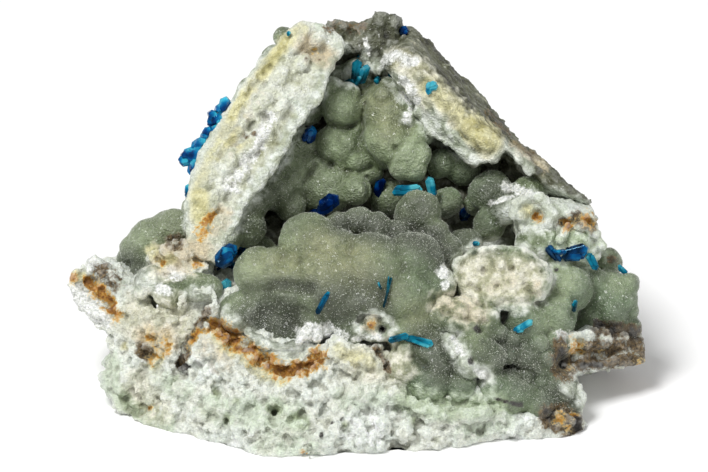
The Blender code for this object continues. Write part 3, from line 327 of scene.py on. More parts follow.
# Where the surface of a piece is sunk or raised: height in mm, radius, path of (across, up).
CARVING = {
    "left_wall": [
        (-0.45, 0.2, [(-5.4, 7.2), (-5.2, 7.0)]), (-0.5, 0.16, [(-6.2, 6.4), (-6.0, 6.6)]),
        (-0.3, 0.3, [(-7.1, 5.5)]), (-0.4, 0.2, [(-7.5, 2.1), (-7.4, 2.4)]), (-0.35, 0.15, [(-7.2, 3.0)]),
        (-0.4, 0.12, [(-4.8, 7.8)]), (-0.3, 0.35, [(-2.6, 10.6), (-1.9, 11.0)]),
        (-0.25, 0.14, [(-6.4, 8.2), (-5.0, 10.0)]), (-0.14, 0.1, [(-8.6, 2.4), (-8.1, 3.8), (-7.8, 5.0)]),
        (-0.16, 0.1, [(-6.8, 6.4), (-6.4, 7.9)]), (-0.3, 0.22, [(-6.1, 6.7), (-6.2, 6.0), (-6.9, 5.4)]),
        (0.12, 0.2, [(-8.9, 1.5), (-8.9, 3.2)]), (0.2, 0.3, [(-5.0, 6.0), (-4.4, 7.3), (-3.5, 8.8)]),
        (-0.3, 0.4, [(-6.5, 4.2), (-5.8, 5.0)]), (-0.25, 0.3, [(-3.9, 8.6), (-3.0, 9.6)]),
        (-0.3, 0.3, [(-8.3, 0.4), (-8.0, 1.4)]), (-0.3, 0.2, [(-5.3, 8.9)]),
        (0.25, 0.3, [(-3.7, 11.2), (-2.9, 12.1)]),
    ],
    "right_wall": [
        (0.25, 0.6, [(3.2, 10.0), (5.0, 8.4), (6.6, 6.8), (7.8, 5.7)]),
        (-0.3, 0.2, [(3.9, 9.0), (5.2, 7.4)]), (-0.3, 0.25, [(5.9, 6.7), (6.6, 6.0)]),
        (-0.35, 0.25, [(4.8, 9.6), (6.4, 7.8), (8.2, 6.3)]), (-0.25, 0.2, [(4.4, 8.3)]),
        (-0.25, 0.2, [(6.2, 7.4)]), (-0.3, 0.2, [(10.0, 4.6), (11.6, 3.3)]),
        (0.3, 0.3, [(8.9, 6.4), (10.4, 4.9), (12.0, 3.4)]),
    ],
    "broken_matrix": [
        (-0.45, 0.38, [(-8.2, -5.4), (-6.9, -6.4), (-5.7, -7.2), (-4.2, -7.9), (-3.0, -7.7), (-2.1, -7.1)]),
        (-0.5, 0.26, [(-8.7, -4.5), (-9.2, -5.3), (-9.6, -6.2), (-9.9, -7.0), (-10.3, -7.9)]),
        (-0.7, 0.3, [(-4.9, -10.1)]), (-0.7, 0.34, [(-3.5, -10.7), (-3.0, -10.4)]),
        (-0.6, 0.3, [(-7.5, -10.7)]), (-0.8, 0.6, [(-13.2, -9.7), (-12.7, -10.0)]),
        (-0.5, 0.4, [(-12.0, -6.7)]), (-0.4, 0.3, [(-13.4, -6.6)]),
        (-0.6, 0.45, [(3.4, -9.0), (5.2, -9.6), (7.2, -9.7), (8.4, -9.4)]), (-0.5, 0.3, [(0.8, -10.2)]),
        (-0.6, 0.24, [(1.3, -6.3), (1.8, -7.2), (2.2, -7.9)]), (-0.5, 0.3, [(-10.4, -8.4)]),
        (-0.5, 0.3, [(-6.4, -11.6), (-5.6, -11.9)]), (-0.5, 0.3, [(3.6, -10.9)]),
        (-0.5, 0.35, [(7.4, -11.2)]), (-0.4, 0.25, [(-1.4, -11.0)]), (-0.4, 0.2, [(-0.6, -10.8)]),
        (-0.5, 0.3, [(11.3, -10.3)]), (-0.2, 0.6, [(-7.0, -12.2), (-9.6, -12.2)]),
        (-0.9, 0.5, [(2.6, -12.6)]), (-0.9, 0.4, [(-0.5, -12.9)]), (-0.9, 0.5, [(8.8, -12.0)]),
        (-0.6, 0.4, [(5.6, -12.9)]), (-0.7, 0.4, [(-3.0, -13.2)]), (-0.4, 0.4, [(-11.4, -9.8)]),
        (-0.4, 0.3, [(-8.0, -8.8)]), (-0.5, 0.3, [(-1.2, -8.0), (0.0, -8.2)]),
    ],
    "left_rubble": [
        (-0.5, 0.3, [(-15.6, -2.8), (-14.8, -3.5), (-14.3, -4.3)]), (-0.4, 0.3, [(-12.9, -2.9)]),
        (-0.5, 0.3, [(-10.4, -0.7)]), (-0.4, 0.3, [(-9.2, -1.4)]), (-0.4, 0.25, [(-11.6, -1.5)]),
    ],
    "right_rubble": [
        (-0.6, 0.32, [(10.8, 1.2)]), (-0.4, 0.3, [(12.5, 0.9)]), (-0.4, 0.3, [(13.9, 0.7)]),
        (-0.6, 0.3, [(12.6, -7.2), (13.2, -7.0)]), (-0.5, 0.25, [(14.2, -7.0), (15.6, -6.8)]),
        (-0.35, 0.15, [(12.0, -0.6), (12.4, 0.4)]), (-0.35, 0.15, [(13.3, -0.9), (13.4, 0.1)]),
    ],
    "centre_crust": [
        (-1.0, 0.95, [(-4.7, -5.0), (-4.2, -5.1)]), (-0.9, 0.22, [(1.65, -5.4)]),
        (-0.5, 0.2, [(-3.2, -7.0), (-2.2, -6.6)]), (-0.6, 0.22, [(1.2, -6.4), (1.8, -7.3)]),
        (-0.45, 0.35, [(-6.1, -3.1), (-4.4, -2.9), (-2.6, -3.1)]), (-0.3, 0.5, [(-1.0, -4.9), (0.4, -4.6)]),
        (-0.35, 0.25, [(3.3, -6.9), (4.2, -7.6)]), (-0.3, 0.2, [(5.1, -6.2), (5.5, -7.4)]),
    ],
    "right_crust": [
        (-0.8, 0.35, [(9.1, -7.7), (10.4, -8.4)]), (-0.7, 0.5, [(6.3, -8.9)]), (-0.3, 0.18, [(7.6, -2.0)]),
        (-0.3, 0.2, [(9.3, -1.9)]), (-0.25, 0.16, [(11.0, -2.1)]),
        (-0.25, 0.14, [(10.0, -2.9), (10.5, -3.4)]), (-0.25, 0.15, [(6.7, -2.8), (7.4, -3.2)]),
        (-0.3, 0.2, [(8.4, -3.0)]), (0.25, 0.25, [(8.6, -1.6)]), (-0.5, 0.2, [(6.8, -7.2)]),
        (-0.5, 0.2, [(7.3, -5.5)]), (-0.4, 0.3, [(12.9, -4.6)]),
    ],
    "vault_crust": [
        (-0.45, 0.13, [(-2.1, 8.0), (-1.85, 7.2), (-1.25, 6.55), (-0.45, 6.4), (0.2, 6.7)]),
        (-0.6, 0.14, [(-2.1, 6.5), (-2.35, 5.8), (-2.25, 5.1), (-1.9, 4.55), (-1.4, 4.25)]),
        (-0.4, 0.12, [(-1.4, 4.25), (-0.6, 3.85), (0.3, 3.8), (1.0, 4.1)]),
        (-0.5, 0.13, [(0.7, 7.9), (0.5, 7.0), (0.5, 5.9), (0.65, 5.1), (1.15, 4.4), (1.95, 3.95)]),
        (-0.4, 0.12, [(0.75, 3.5), (0.95, 2.7), (0.7, 2.0)]),
        (-0.3, 0.1, [(2.4, 5.3), (2.35, 4.7), (2.1, 4.1)]), (-0.3, 0.12, [(-3.0, 3.1), (-2.3, 4.3)]),
        (-0.3, 0.1, [(2.5, 5.2), (3.1, 5.6), (3.9, 5.5)]),
    ],
}

# Bubbles broken open to a flat face: how far out it lies, radius, path.
SHAVED = {
    "right_crust": [(2.55, 1.3, [(7.3, -2.4), (9.9, -2.5)]), (2.95, 0.75, [(5.6, -4.0), (7.4, -4.5)])],
    "centre_crust": [(3.1, 0.7, [(0.7, -5.2), (1.6, -5.4)])],
}


def one(name):
    """The object of that name, selected alone and active."""
    thing = bpy.data.objects[name]
    bpy.ops.object.select_all(action="DESELECT")
    thing.select_set(True)
    bpy.context.view_layer.objects.active = thing
    return thing


def new_thing(name, points=(), faces=()):
    """A new object from bare points and faces, selected alone."""
    mesh = bpy.data.meshes.new(name)
    mesh.from_pydata(points, [], faces)
    thing = bpy.data.objects.new(name, mesh)
    bpy.context.scene.collection.objects.link(thing)
    return one(thing.name)


def add_mass(corners):
    """A block of rock: the hull of its corners."""
    thing = new_thing("mass", [TO_PART @ Vector(corner) for corner in corners])
    bpy.ops.object.mode_set(mode="EDIT")
    bpy.ops.mesh.select_all(action="SELECT")
    bpy.ops.mesh.convex_hull()
    bpy.ops.object.mode_set(mode="OBJECT")
    return thing


def add_lobe(across, up, radius, front):
    """A bubble whose nearest point lies that far out of the display face."""
    place = TO_PART @ Vector((across, up, front - radius))
    bpy.ops.mesh.primitive_ico_sphere_add(subdivisions=3, radius=radius * MM, location=place)
    return bpy.context.object


def add_rim(radius, points, draw):
    """Bubbles along a broken edge, a little uneven in size and place."""
    spacing = 1.15 * radius
    made = []
    for start, end in zip(points, points[1:]):
        start, end = Vector(start), Vector(end)
        steps = max(1, round((end - start).length / spacing))
        for step in range(steps):
            place = start.lerp(end, step / steps)
            size = radius * draw.uniform(0.7, 1.25)
            made.append(add_lobe(place.x + draw.uniform(-0.1, 0.1), place.y, size, place.z + 0.9 * size))
    return made


def surface_out(across, up, pieces):
    """How far out the nearest rock lies under a place on the display face."""
    bpy.context.view_layer.update()
    start = TO_PART @ Vector((across, up, CLEAR_OF_ROCK))
    end = TO_PART @ Vector((across, up, -CLEAR_OF_ROCK))
    way = (end - start).normalized()
    best = None
    for piece in pieces:
        found, place, _, _ = piece.ray_cast(start, way)
        if found and (best is None or (place - start).length < (best - start).length):
            best = place
    return None if best is None else (TO_PART.inverted() @ best).z


def apply_modifier(thing, kind, **settings):
    """Adds a modifier with its settings and applies it."""
    one(thing.name)
    step = thing.modifiers.new("step", kind)
    for name, value in settings.items():
        setattr(step, name, value)
    bpy.ops.object.modifier_apply(modifier=step.name)


def join(body, others):
    """Joins the others' meshes into the body's."""
    one(body.name)
    for thing in others:
        thing.select_set(True)
    bpy.ops.object.join()


def numbers(collection, name, width, kind=np.float32):
    """One property of every point, edge or triangle, in rows of that width."""
    flat = np.empty(width * len(collection), kind)
    collection.foreach_get(name, flat)
    return flat.reshape(-1, width)


def places(body):
    """Every point of a body, in metres."""
    return numbers(body.data.vertices, "co", 3).astype(np.float64)


def put_places(body, points):
    """Moves every point of a body, none below the flat that it rests on."""
    points[:, 2] = np.maximum(points[:, 2], 0.0)
    body.data.vertices.foreach_set("co", points.astype(np.float32).ravel())
    body.data.update()


def press_back(body, kept=0.3):
    """Presses in what stands out past the solids at the back, down to a share of its height."""
    points = places(body)
    points[:, 1] -= (1.0 - kept) * np.maximum(points[:, 1] - cad_box[1][1], 0.0)
    put_places(body, points)


def face_places(body):
    """Every point of a body on the display face, in mm as (across, up, out)."""
    return (places(body) / MM - np.array(FACE_ZERO)) @ TURN


def facing(body):
    """How squarely each point looks out of the display face: 1 up to 50 degrees off, 0 from 90 on."""
    return np.clip(1.6 * numbers(body.data.vertices, "normal", 3) @ TURN[:, 2], 0.0, 1.0)


def stroke(points, radius, path, softness):
    """How far each point lies inside a brush stroke on the display face: 1 inside, 0 outside."""
    flat = points[:, :2]
    best = np.full(len(flat), 1e9)
    path = [np.array(place, float) for place in path]
    for start, end in zip(path, path[1:] or path):
        along = end - start
        share = np.clip((flat - start) @ along / max(along @ along, 1e-9), 0.0, 1.0)
        gap = flat - (start + share[:, None] * along)
        best = np.minimum(best, np.hypot(gap[:, 0], gap[:, 1]))
    share = np.clip(0.5 + (radius - best) / softness, 0.0, 1.0)
    return share * share * (3.0 - 2.0 * share)


def carve(body):
    """Cuts broken bubbles flat, and sinks or raises the surface under each stroke."""
    points = face_places(body)
    for level, radius, path in SHAVED.get(body.name, []):
        inside = stroke(points, radius, path, 0.3) > 0.5
        points[inside, 2] = np.minimum(points[inside, 2], level)
    front = facing(body)
    for height, radius, path in CARVING.get(body.name, []):
        points[:, 2] += height * front * stroke(points, radius, path, 1.2 * radius)
    put_places(body, (points @ TURN.T + np.array(FACE_ZERO)) * MM)


def sample(body, count, draw, weights):
    """Random places on a body with the way it faces there, more of them where the weights are high."""
    mesh = body.data
    mesh.calc_loop_triangles()
    corners = numbers(mesh.loop_triangles, "vertices", 3, np.int32)
    at = places(body)[corners]
    across = np.cross(at[:, 1] - at[:, 0], at[:, 2] - at[:, 0])
    area = np.maximum(np.linalg.norm(across, axis=1), 1e-18)
    share = area * weights[corners].mean(axis=1)
    chosen = draw.choice(len(corners), count, p=share / share.sum())
    first, second = draw.random((2, count, 1))
    over = first + second > 1.0
    first, second = np.where(over, 1.0 - first, first), np.where(over, 1.0 - second, second)
    at = at[chosen]
    spots = at[:, 0] + first * (at[:, 1] - at[:, 0]) + second * (at[:, 2] - at[:, 0])
    return spots, across[chosen] / area[chosen, None]


def scatter(name, shape, spots, ways, sizes, draw):
    """One mesh of many copies of a small shape: each stands along its way, in its own sizes in mm."""
    corners = numbers(shape.data.vertices, "co", 3).astype(np.float64)
    faces = np.array([face.vertices[:] for face in shape.data.polygons])
    ways = ways / np.linalg.norm(ways, axis=1)[:, None]
    side = np.cross(ways, draw.normal(size=ways.shape))
    side /= np.linalg.norm(side, axis=1)[:, None]
    frames = np.stack([side, np.cross(ways, side), ways], axis=1)
    points = spots[:, None] + np.einsum("vk,nk,nkx->nvx", corners, sizes * MM, frames)
    index = faces[None] + len(corners) * np.arange(len(spots))[:, None, None]
    body = new_thing(name)
    body.data.from_pydata(points.reshape(-1, 3).tolist(), [], index.reshape(-1, faces.shape[1]).tolist())
    return body


def standing(body):
    """0 at the flat that the specimen rests on, 1 from half a millimetre up."""
    return np.clip(places(body)[:, 2] / (0.5 * MM), 0.0, 1.0)


def add_crumbs(body, count, low, high, draw):
    """Angular crumbs half sunk in a broken surface, joined into its mesh."""
    bpy.ops.mesh.primitive_ico_sphere_add(subdivisions=1, radius=1.1)
    shape = bpy.context.object
    at = places(body) / MM
    # Crumbs lie thick in patches a few millimetres wide, where two slow waves through the rock agree.
    patches = np.sin(at @ (1.9, 0.7, -1.3)) * np.sin(at @ (-0.8, 1.1, 2.1) + 1.0)
    thickness = np.clip(0.5 + 1.2 * patches, 0.12, 1.0)
    spots, ways = sample(body, count, draw, standing(body) * thickness)
    sizes = (low + (high - low) * draw.random((count, 1)) ** 2) * draw.uniform(0.75, 1.3, (count, 3))
    spots = spots - 0.35 * sizes[:, :1] * MM * ways
    crumbs = scatter("crumbs", shape, spots, ways, sizes, draw)
    bpy.data.objects.remove(shape, do_unlink=True)
    join(body, [crumbs])


# How high a flake stands for its half width.
FLAKE_HEIGHT = 0.7


def grow(name, masses=(), groups=(), rims=(), crumbs=(), swell=(), rough=0.2, fine=0.11, melt=2):
    """One closed body of masses and bubbles: carved, then crusted with crumbs, knobs and rims.

    Rough and fine are the grid sizes of its two remeshes in mm, melt is how far its bubbles run together.
    """
    draw = np.random.default_rng(sum(map(ord, name)))
    body = new_thing(name)
    made = [add_mass(MASSES[mass]) for mass in masses]
    made += [add_lobe(*lobe) for group in groups for lobe in LOBES[group]]
    join(body, made)
    apply_modifier(body, "REMESH", mode="VOXEL", voxel_size=rough * MM)
    apply_modifier(body, "SMOOTH", factor=0.5, iterations=melt)
    carve(body)
    weigh(body, "free", standing(body))
    for size, height in swell:
        roughen(body, "CLOUDS", size, height, "free", noise_depth=2)
    made = []
    for across, up, radius, *flake in KNOBS.get(name, []):
        out = surface_out(across, up, [body])
        if out is None:
            continue
        made.append(add_lobe(across, up, radius, out + (1.0 if flake else 0.8) * radius))
        if flake:
            length, turn = flake
            spot = Matrix.Translation((across, up, out)) @ Matrix.Rotation(math.radians(turn), 4, "Z")
            stretch = Matrix.Diagonal((length / MM, 1.0 / MM, FLAKE_HEIGHT / MM, 1.0))
            made[-1].matrix_world = TO_PART @ spot @ stretch
    for rim in rims:
        made += add_rim(*RIMS[rim], draw)
    for count, low, high in crumbs:
        add_crumbs(body, count, low, high, draw)
    join(body, made)
    bpy.ops.object.mode_set(mode="EDIT")
    bpy.ops.mesh.select_all(action="SELECT")
    bpy.ops.mesh.bisect(plane_co=(0, 0, 0), plane_no=(0, 0, 1), clear_inner=True, use_fill=True)
    bpy.ops.object.mode_set(mode="OBJECT")
    body.vertex_groups.clear()
    apply_modifier(body, "REMESH", mode="VOXEL", voxel_size=fine * MM)
    apply_modifier(body, "SMOOTH", factor=0.5, iterations=1)
    return body


# What the brush paints: tint, then strokes of radius, path (across, up) in mm, and how solid they are.
PAINT = {
    # Painted light: a paler green laid over lobes that lie in shade in the vault, and over some domes, to
    # lighten them.
    "jade_painted_light": [
        (1.2, [(3.4, 4.6)], 1.0), (1.5, [(-1.8, 3.2), (-3.4, 3.8)], 0.4), (1.0, [(-0.8, 7.8)], 0.5),
        (1.2, [(0.2, 2.8)], 0.5), (1.6, [(-12.6, 0.2), (-11.0, 0.6)], 0.4),
        (0.9, [(12.4, -2.2), (11.9, -3.2)], 1.0), (0.8, [(15.6, -2.6)], 0.7),
        (0.8, [(11.6, -4.6), (11.5, -5.6)], 0.6), (1.0, [(5.6, 4.4), (6.8, 4.2)], 0.5),
        (1.2, [(-7.4, -3.2), (-6.2, -2.6)], 0.5),
    ],
    "olive": [
        (1.7, [(-1.8, -1.2), (0.4, -1.8), (1.4, -2.0)], 0.8), (1.1, [(-5.4, -2.0), (-3.6, -1.6)], 0.7),
        (1.6, [(-11.9, -0.6), (-10.4, 0.2)], 0.7), (1.2, [(2.2, 6.6), (1.6, 8.0)], 0.6),
        (1.0, [(3.8, -4.6)], 0.5),
    ],
    "leaf": [
        (1.4, [(2.6, -1.6), (4.4, -2.4)], 0.6), (2.0, [(12.5, -3.1), (11.8, -5.5)], 0.9),
        (1.9, [(15.2, -3.8)], 0.9), (1.4, [(10.1, -5.2), (9.4, -6.6)], 0.8),
        (1.5, [(5.2, 4.3), (6.8, 3.9)], 0.9), (1.2, [(12.0, -9.2), (9.0, -8.8)], 0.8),
        (1.4, [(8.4, 1.6)], 0.5), (1.2, [(5.6, -7.4)], 0.7), (1.5, [(-12.4, -0.6)], 0.5),
        (0.9, [(3.0, -8.6), (5.6, -9.2), (8.6, -9.0)], 1.0),
    ],
    "smoke": [
        (1.1, [(1.4, 12.5), (2.2, 12.9), (1.9, 11.6), (1.3, 10.4)], 0.3),
        (1.0, [(-0.6, 1.0), (1.5, 0.6), (3.2, 0.3), (4.6, -0.2), (5.4, -1.2)], 1.0),
        (1.0, [(3.8, 1.5)], 0.8), (0.6, [(-6.1, -3.2), (-4.5, -2.9), (-2.4, -3.1)], 0.8),
        (1.7, [(-5.6, -4.7), (-4.2, -5.1)], 1.0), (1.5, [(-1.0, -4.0), (0.8, -3.8)], 0.8),
        (1.2, [(4.4, -6.2), (5.3, -7.6)], 0.8), (1.3, [(8.9, -6.8), (10.2, -7.6)], 0.8),
        (1.2, [(11.9, -9.4), (12.8, -9.9)], 0.8), (1.0, [(8.1, 2.6), (9.0, 1.7)], 0.8),
        (0.9, [(-9.6, 0.6), (-11.2, 0.9)], 0.5), (0.9, [(-13.3, -1.5), (-12.6, -2.4)], 1.0),
        (1.6, [(-5.9, 1.3), (-3.6, 2.6)], 0.6), (1.2, [(-3.0, 5.0), (-2.6, 3.4)], 0.5),
        (1.4, [(7.0, -1.0), (6.2, 0.4)], 0.7),
    ],
    "moss": [
        (0.3, [(-4.9, -10.1), (-4.5, -10.2)], 1.0), (0.34, [(-3.4, -10.7), (-2.9, -10.9)], 1.0),
        (0.3, [(-6.9, -9.6)], 0.9), (0.3, [(-7.4, -10.7)], 0.9),
        (0.6, [(-13.5, -9.6), (-12.8, -10.2)], 0.8), (0.25, [(-8.1, -9.2)], 0.8),
        (0.25, [(-0.5, -11.1)], 0.8), (0.5, [(-12.2, -11.2)], 0.6), (0.3, [(3.6, -10.9)], 0.7),
        (0.3, [(-10.4, -8.4)], 0.5), (0.4, [(13.4, 0.0)], 0.6), (0.4, [(14.6, -6.3)], 0.8),
    ],
    "mint": [
        (1.2, [(12.4, -0.5), (13.9, -0.7)], 1.0), (0.6, [(10.8, 2.0), (12.0, 1.5)], 0.8),
        (0.7, [(3.6, 7.7), (5.0, 6.3), (6.2, 5.4)], 0.8),
        (0.85, [(3.0, -9.5), (5.5, -10.1), (8.2, -9.9)], 1.0),
        (1.0, [(-8.2, -10.1), (-5.5, -10.4), (-3.4, -10.8)], 0.6),
        (0.9, [(-5.0, -12.0), (-2.6, -12.3)], 0.5),
        (0.8, [(-13.4, -9.4), (-12.4, -10.3), (-11.2, -11.0)], 0.8),
        (0.6, [(-14.3, -7.4), (-14.3, -8.8)], 0.7), (0.8, [(-0.6, -9.6), (1.4, -9.3)], 0.5),
        (0.7, [(-11.4, -8.4), (-10.0, -9.2)], 0.5), (0.8, [(8.8, -10.6), (6.6, -11.2)], 0.5),
        (0.7, [(-4.6, -10.0)], 0.8), (0.8, [(-3.3, -10.8)], 0.9),
    ],
    "pale": [
        (0.5, [(-7.5, -0.1), (-6.5, 1.7), (-5.3, 3.5), (-4.2, 4.9), (-3.8, 6.1), (-3.0, 7.3), (-2.1, 8.3),
               (-1.7, 9.8), (-0.8, 11.1)], 1.0),
        (0.2, [(-9.9, 0.0), (-9.85, 1.8), (-9.6, 3.6), (-8.9, 5.1), (-8.2, 6.3), (-7.4, 7.8), (-6.2, 9.5),
               (-5.5, 10.5), (-4.7, 11.4)], 1.0),
        (0.4, [(3.9, 7.2), (4.9, 6.0), (5.9, 5.4), (7.2, 4.5), (8.3, 4.8), (8.9, 5.4)], 0.95),
        (0.55, [(5.7, -5.8), (6.2, -6.8), (6.8, -7.6), (7.6, -8.2)], 1.0),
        (0.9, [(2.9, 9.3), (3.9, 8.0), (5.2, 6.7), (6.4, 5.7)], 0.9),
        (0.8, [(-0.4, 9.5), (0.9, 10.1)], 0.9),
        (0.3, [(5.7, -2.6), (6.0, -1.3), (7.0, -0.6), (8.4, -0.4), (9.8, -0.5), (11.0, -1.3),
               (11.6, -2.5), (11.1, -3.8), (9.8, -4.3), (8.2, -4.5)], 1.0),
        (1.2, [(9.7, 1.3), (11.2, 1.4)], 1.0), (0.7, [(12.0, 0.9), (13.8, 0.9)], 0.8),
        (0.3, [(12.1, 0.2), (12.6, 0.9), (13.4, 0.9)], 0.9), (0.35, [(14.2, 0.0), (14.4, -1.1)], 0.9),
        (0.28, [(11.5, 2.7), (12.6, 2.3), (13.6, 1.9)], 0.8),
        (0.38, [(9.4, 5.0), (10.1, 4.4), (10.4, 3.9)], 0.9), (0.42, [(3.6, 8.0)], 1.0),
        (0.45, [(3.1, 7.0)], 1.0),
        (0.5, [(-7.6, -4.6), (-6.6, -5.5), (-5.4, -6.3), (-4.0, -6.9), (-3.2, -6.8)], 0.8),
        (0.6, [(-13.6, -2.9), (-12.8, -3.3)], 0.9), (0.5, [(-9.6, -3.5), (-8.4, -3.4)], 0.9),
        (0.4, [(12.4, -8.6), (13.3, -9.3), (13.6, -10.2)], 0.9), (0.35, [(12.5, -6.0), (13.2, -6.0)], 0.8),
        (0.8, [(-12.0, -2.6)], 0.9),
        (0.2, [(0.1, -5.2), (0.5, -4.7), (1.2, -4.5), (2.0, -4.8), (2.4, -5.4)], 0.9),
        (0.6, [(0.5, -5.6), (1.9, -5.9)], 0.8),
    ],
    "cream": [
        (0.8, [(2.7, 10.4), (3.9, 9.6), (5.0, 8.4), (6.2, 7.2), (7.4, 6.0), (8.0, 5.4)], 0.95),
        (1.4, [(7.2, -2.4), (9.8, -2.5)], 1.0), (0.6, [(3.4, 8.9), (4.4, 8.0)], 0.9),
        (0.95, [(5.4, -3.9), (7.2, -4.4)], 0.8), (1.2, [(-9.3, -1.0), (-11.0, -1.6)], 0.7),
        (1.2, [(0.4, -7.4), (2.4, -7.6)], 0.8), (0.5, [(2.6, -6.9), (2.2, -6.2)], 0.7),
        (1.5, [(-12.6, -4.9), (-10.6, -5.0)], 0.9), (0.9, [(-12.8, -8.6), (-11.6, -10.4)], 0.7),
    ],
    "white": [
        (0.35, [(1.9, 10.3), (2.6, 10.7), (3.4, 10.3)], 0.9),
        (0.3, [(2.8, 9.2), (3.4, 8.6), (3.3, 8.1)], 0.8), (0.3, [(9.0, 3.0), (10.0, 2.6)], 0.8),
        (0.16, [(8.1, 1.9), (9.0, 2.2), (9.9, 2.6)], 0.8), (0.4, [(5.2, -2.1)], 1.0),
        (0.3, [(5.3, -2.9)], 0.8), (0.18, [(5.8, -6.0), (6.3, -6.9)], 0.8),
        (0.16, [(7.0, -7.9), (7.6, -8.2)], 0.8), (0.5, [(-2.9, -5.8), (-1.6, -5.6)], 1.0),
        (0.3, [(-1.2, -5.6), (0.0, -6.0), (1.4, -5.9)], 0.7), (0.4, [(-15.4, -1.7)], 1.0),
        (0.7, [(-16.4, -3.3), (-15.6, -3.9), (-14.9, -4.7)], 0.9),
        (0.3, [(-11.4, -3.0), (-11.0, -3.2)], 0.9), (0.45, [(-10.9, -2.0), (-10.4, -2.2)], 0.8),
        (0.1, [(0.65, 11.7), (0.8, 11.2), (0.95, 10.7)], 1.0), (0.4, [(12.2, -5.9), (12.3, -6.6)], 0.9),
        (0.2, [(14.0, -6.3), (15.4, -6.1)], 0.7), (0.4, [(-7.2, 3.0), (-5.6, 5.2), (-5.0, 7.0)], 0.7),
        (0.26, [(3.65, 8.0)], 1.0), (0.34, [(3.15, 7.0)], 1.0), (0.16, [(3.3, 7.5)], 0.9),
    ],
    "tan": [
        (0.7, [(5.3, -3.9), (7.0, -4.5)], 0.4), (0.5, [(10.5, -3.1)], 0.35),
        (0.9, [(-12.0, -6.1), (-11.3, -6.3)], 0.9), (0.8, [(-2.7, 11.3), (-1.8, 10.6)], 0.75),
        (0.5, [(9.6, 5.4), (11.2, 4.2)], 0.5), (0.6, [(-8.0, 0.4), (-7.7, 1.4)], 0.5),
        (0.5, [(-7.4, 5.0), (-6.6, 6.6), (-5.6, 8.2)], 0.3), (1.0, [(-10.9, -1.2), (-9.3, -0.9)], 0.75),
        (0.5, [(1.0, -5.2)], 0.7), (0.8, [(-8.6, -6.4), (-7.6, -7.2)], 0.5),
        (0.4, [(9.2, -2.6), (8.0, -3.0)], 0.3),
    ],
    "ochre": [
        (0.4, [(-9.3, 1.2), (-9.1, 3.0), (-8.5, 4.4), (-7.8, 5.9), (-7.0, 7.3), (-6.0, 8.9), (-5.0, 10.3),
               (-4.0, 11.6), (-3.1, 12.3)], 0.6),
        (0.4, [(-5.5, 9.5), (-4.7, 10.6), (-4.0, 11.6)], 1.0), (0.3, [(-7.2, 7.0), (-6.5, 8.3)], 1.0),
        (0.3, [(-8.0, 4.6), (-7.4, 5.6), (-6.8, 6.2)], 0.7), (0.22, [(-6.9, 5.0), (-6.2, 5.6)], 0.6),
        (0.6, [(-9.1, 2.4), (-9.0, 1.2)], 0.9), (0.85, [(6.9, 6.4), (7.9, 5.7)], 1.0),
        (0.6, [(4.4, 8.9), (5.6, 7.8), (6.6, 6.8)], 0.7), (0.4, [(-11.9, -0.95)], 0.8),
        (0.4, [(-11.2, -1.5), (-10.8, -1.4)], 0.8), (0.5, [(-11.7, -7.4)], 0.7),
        (0.4, [(-8.1, -5.85), (-6.8, -6.85), (-5.7, -7.7), (-4.2, -8.35)], 0.8),
        (0.3, [(-13.5, -6.5)], 0.7), (0.5, [(-1.0, -6.8), (0.2, -7.1), (1.0, -7.3)], 0.6),
        (0.5, [(-16.3, -2.35)], 0.8), (0.5, [(10.2, 1.5)], 0.7), (0.4, [(13.2, 0.9)], 0.7),
        (0.45, [(13.5, -6.6)], 0.7),
    ],
    "umber_and_shadow": [
        (0.4, [(-1.4, 12.4), (0.4, 12.5)], 0.6), (0.14, [(-2.8, 10.5)], 0.9), (0.16, [(-2.3, 11.0)], 0.9),
        (0.12, [(-2.0, 10.4)], 0.9), (0.14, [(-6.3, 5.8)], 0.8), (0.12, [(-5.9, 6.0)], 0.8),
        (0.6, [(-10.5, -0.35)], 0.7), (0.6, [(-14.8, -2.1), (-14.2, -2.8)], 0.65),
        (0.45, [(-15.2, -2.8), (-14.5, -3.8)], 0.8),
        (0.26, [(-8.6, -4.4), (-9.1, -5.2), (-9.5, -6.1), (-9.8, -6.7), (-10.2, -7.6)], 0.95),
        (0.16, [(1.1, -6.2), (1.7, -7.2), (2.1, -7.9)], 0.8), (0.45, [(-12.4, -6.6), (-12.1, -7.0)], 0.95),
        (0.7, [(12.2, -7.0), (12.4, -7.9)], 0.9), (0.6, [(16.7, -6.6), (16.9, -7.4)], 0.85),
        # The second stroke on the next line is painted shadow on the right wing's top, under the domes.
        (0.45, [(13.4, -7.5), (15.0, -7.4), (16.6, -7.3)], 1.0), (0.45, [(14.4, -5.4), (16.6, -5.6)], 0.95),
        (0.4, [(8.2, 7.3), (9.4, 6.1), (10.6, 5.0)], 0.5), (0.5, [(16.6, -6.3), (16.8, -7.2)], 1.0),
        (0.5, [(13.8, -6.6), (16.0, -6.5)], 0.85), (0.6, [(12.2, -6.4), (12.4, -7.9)], 0.9),
        (0.5, [(13.2, 1.0), (13.9, 0.7)], 0.9), (0.3, [(12.3, 0.8)], 0.9), (0.3, [(15.3, -1.4)], 0.8),
        (0.8, [(11.6, -10.6), (12.8, -11.1)], 0.95),
        (0.3, [(-8.1, -5.0), (-6.8, -6.0), (-5.5, -6.85), (-4.2, -7.5)], 0.8),
        (0.3, [(-8.3, -5.1), (-6.9, -6.0), (-5.6, -6.9)], 0.6),
    ],
    "rust": [
        (0.55, [(-8.0, -5.4), (-6.7, -6.4), (-5.6, -7.2), (-4.1, -7.9)], 0.9),
        (0.5, [(-3.5, -7.85), (-2.8, -7.6), (-2.0, -7.0)], 0.9), (0.2, [(-9.2, -5.6), (-9.7, -6.6)], 0.8),
        (0.38, [(-15.7, -2.7), (-14.8, -3.4), (-14.3, -4.2), (-13.9, -4.75)], 0.85),
        (0.34, [(-16.5, -2.5)], 0.8), (0.36, [(-9.1, 0.1), (-8.7, 0.7), (-8.4, 1.2)], 0.7),
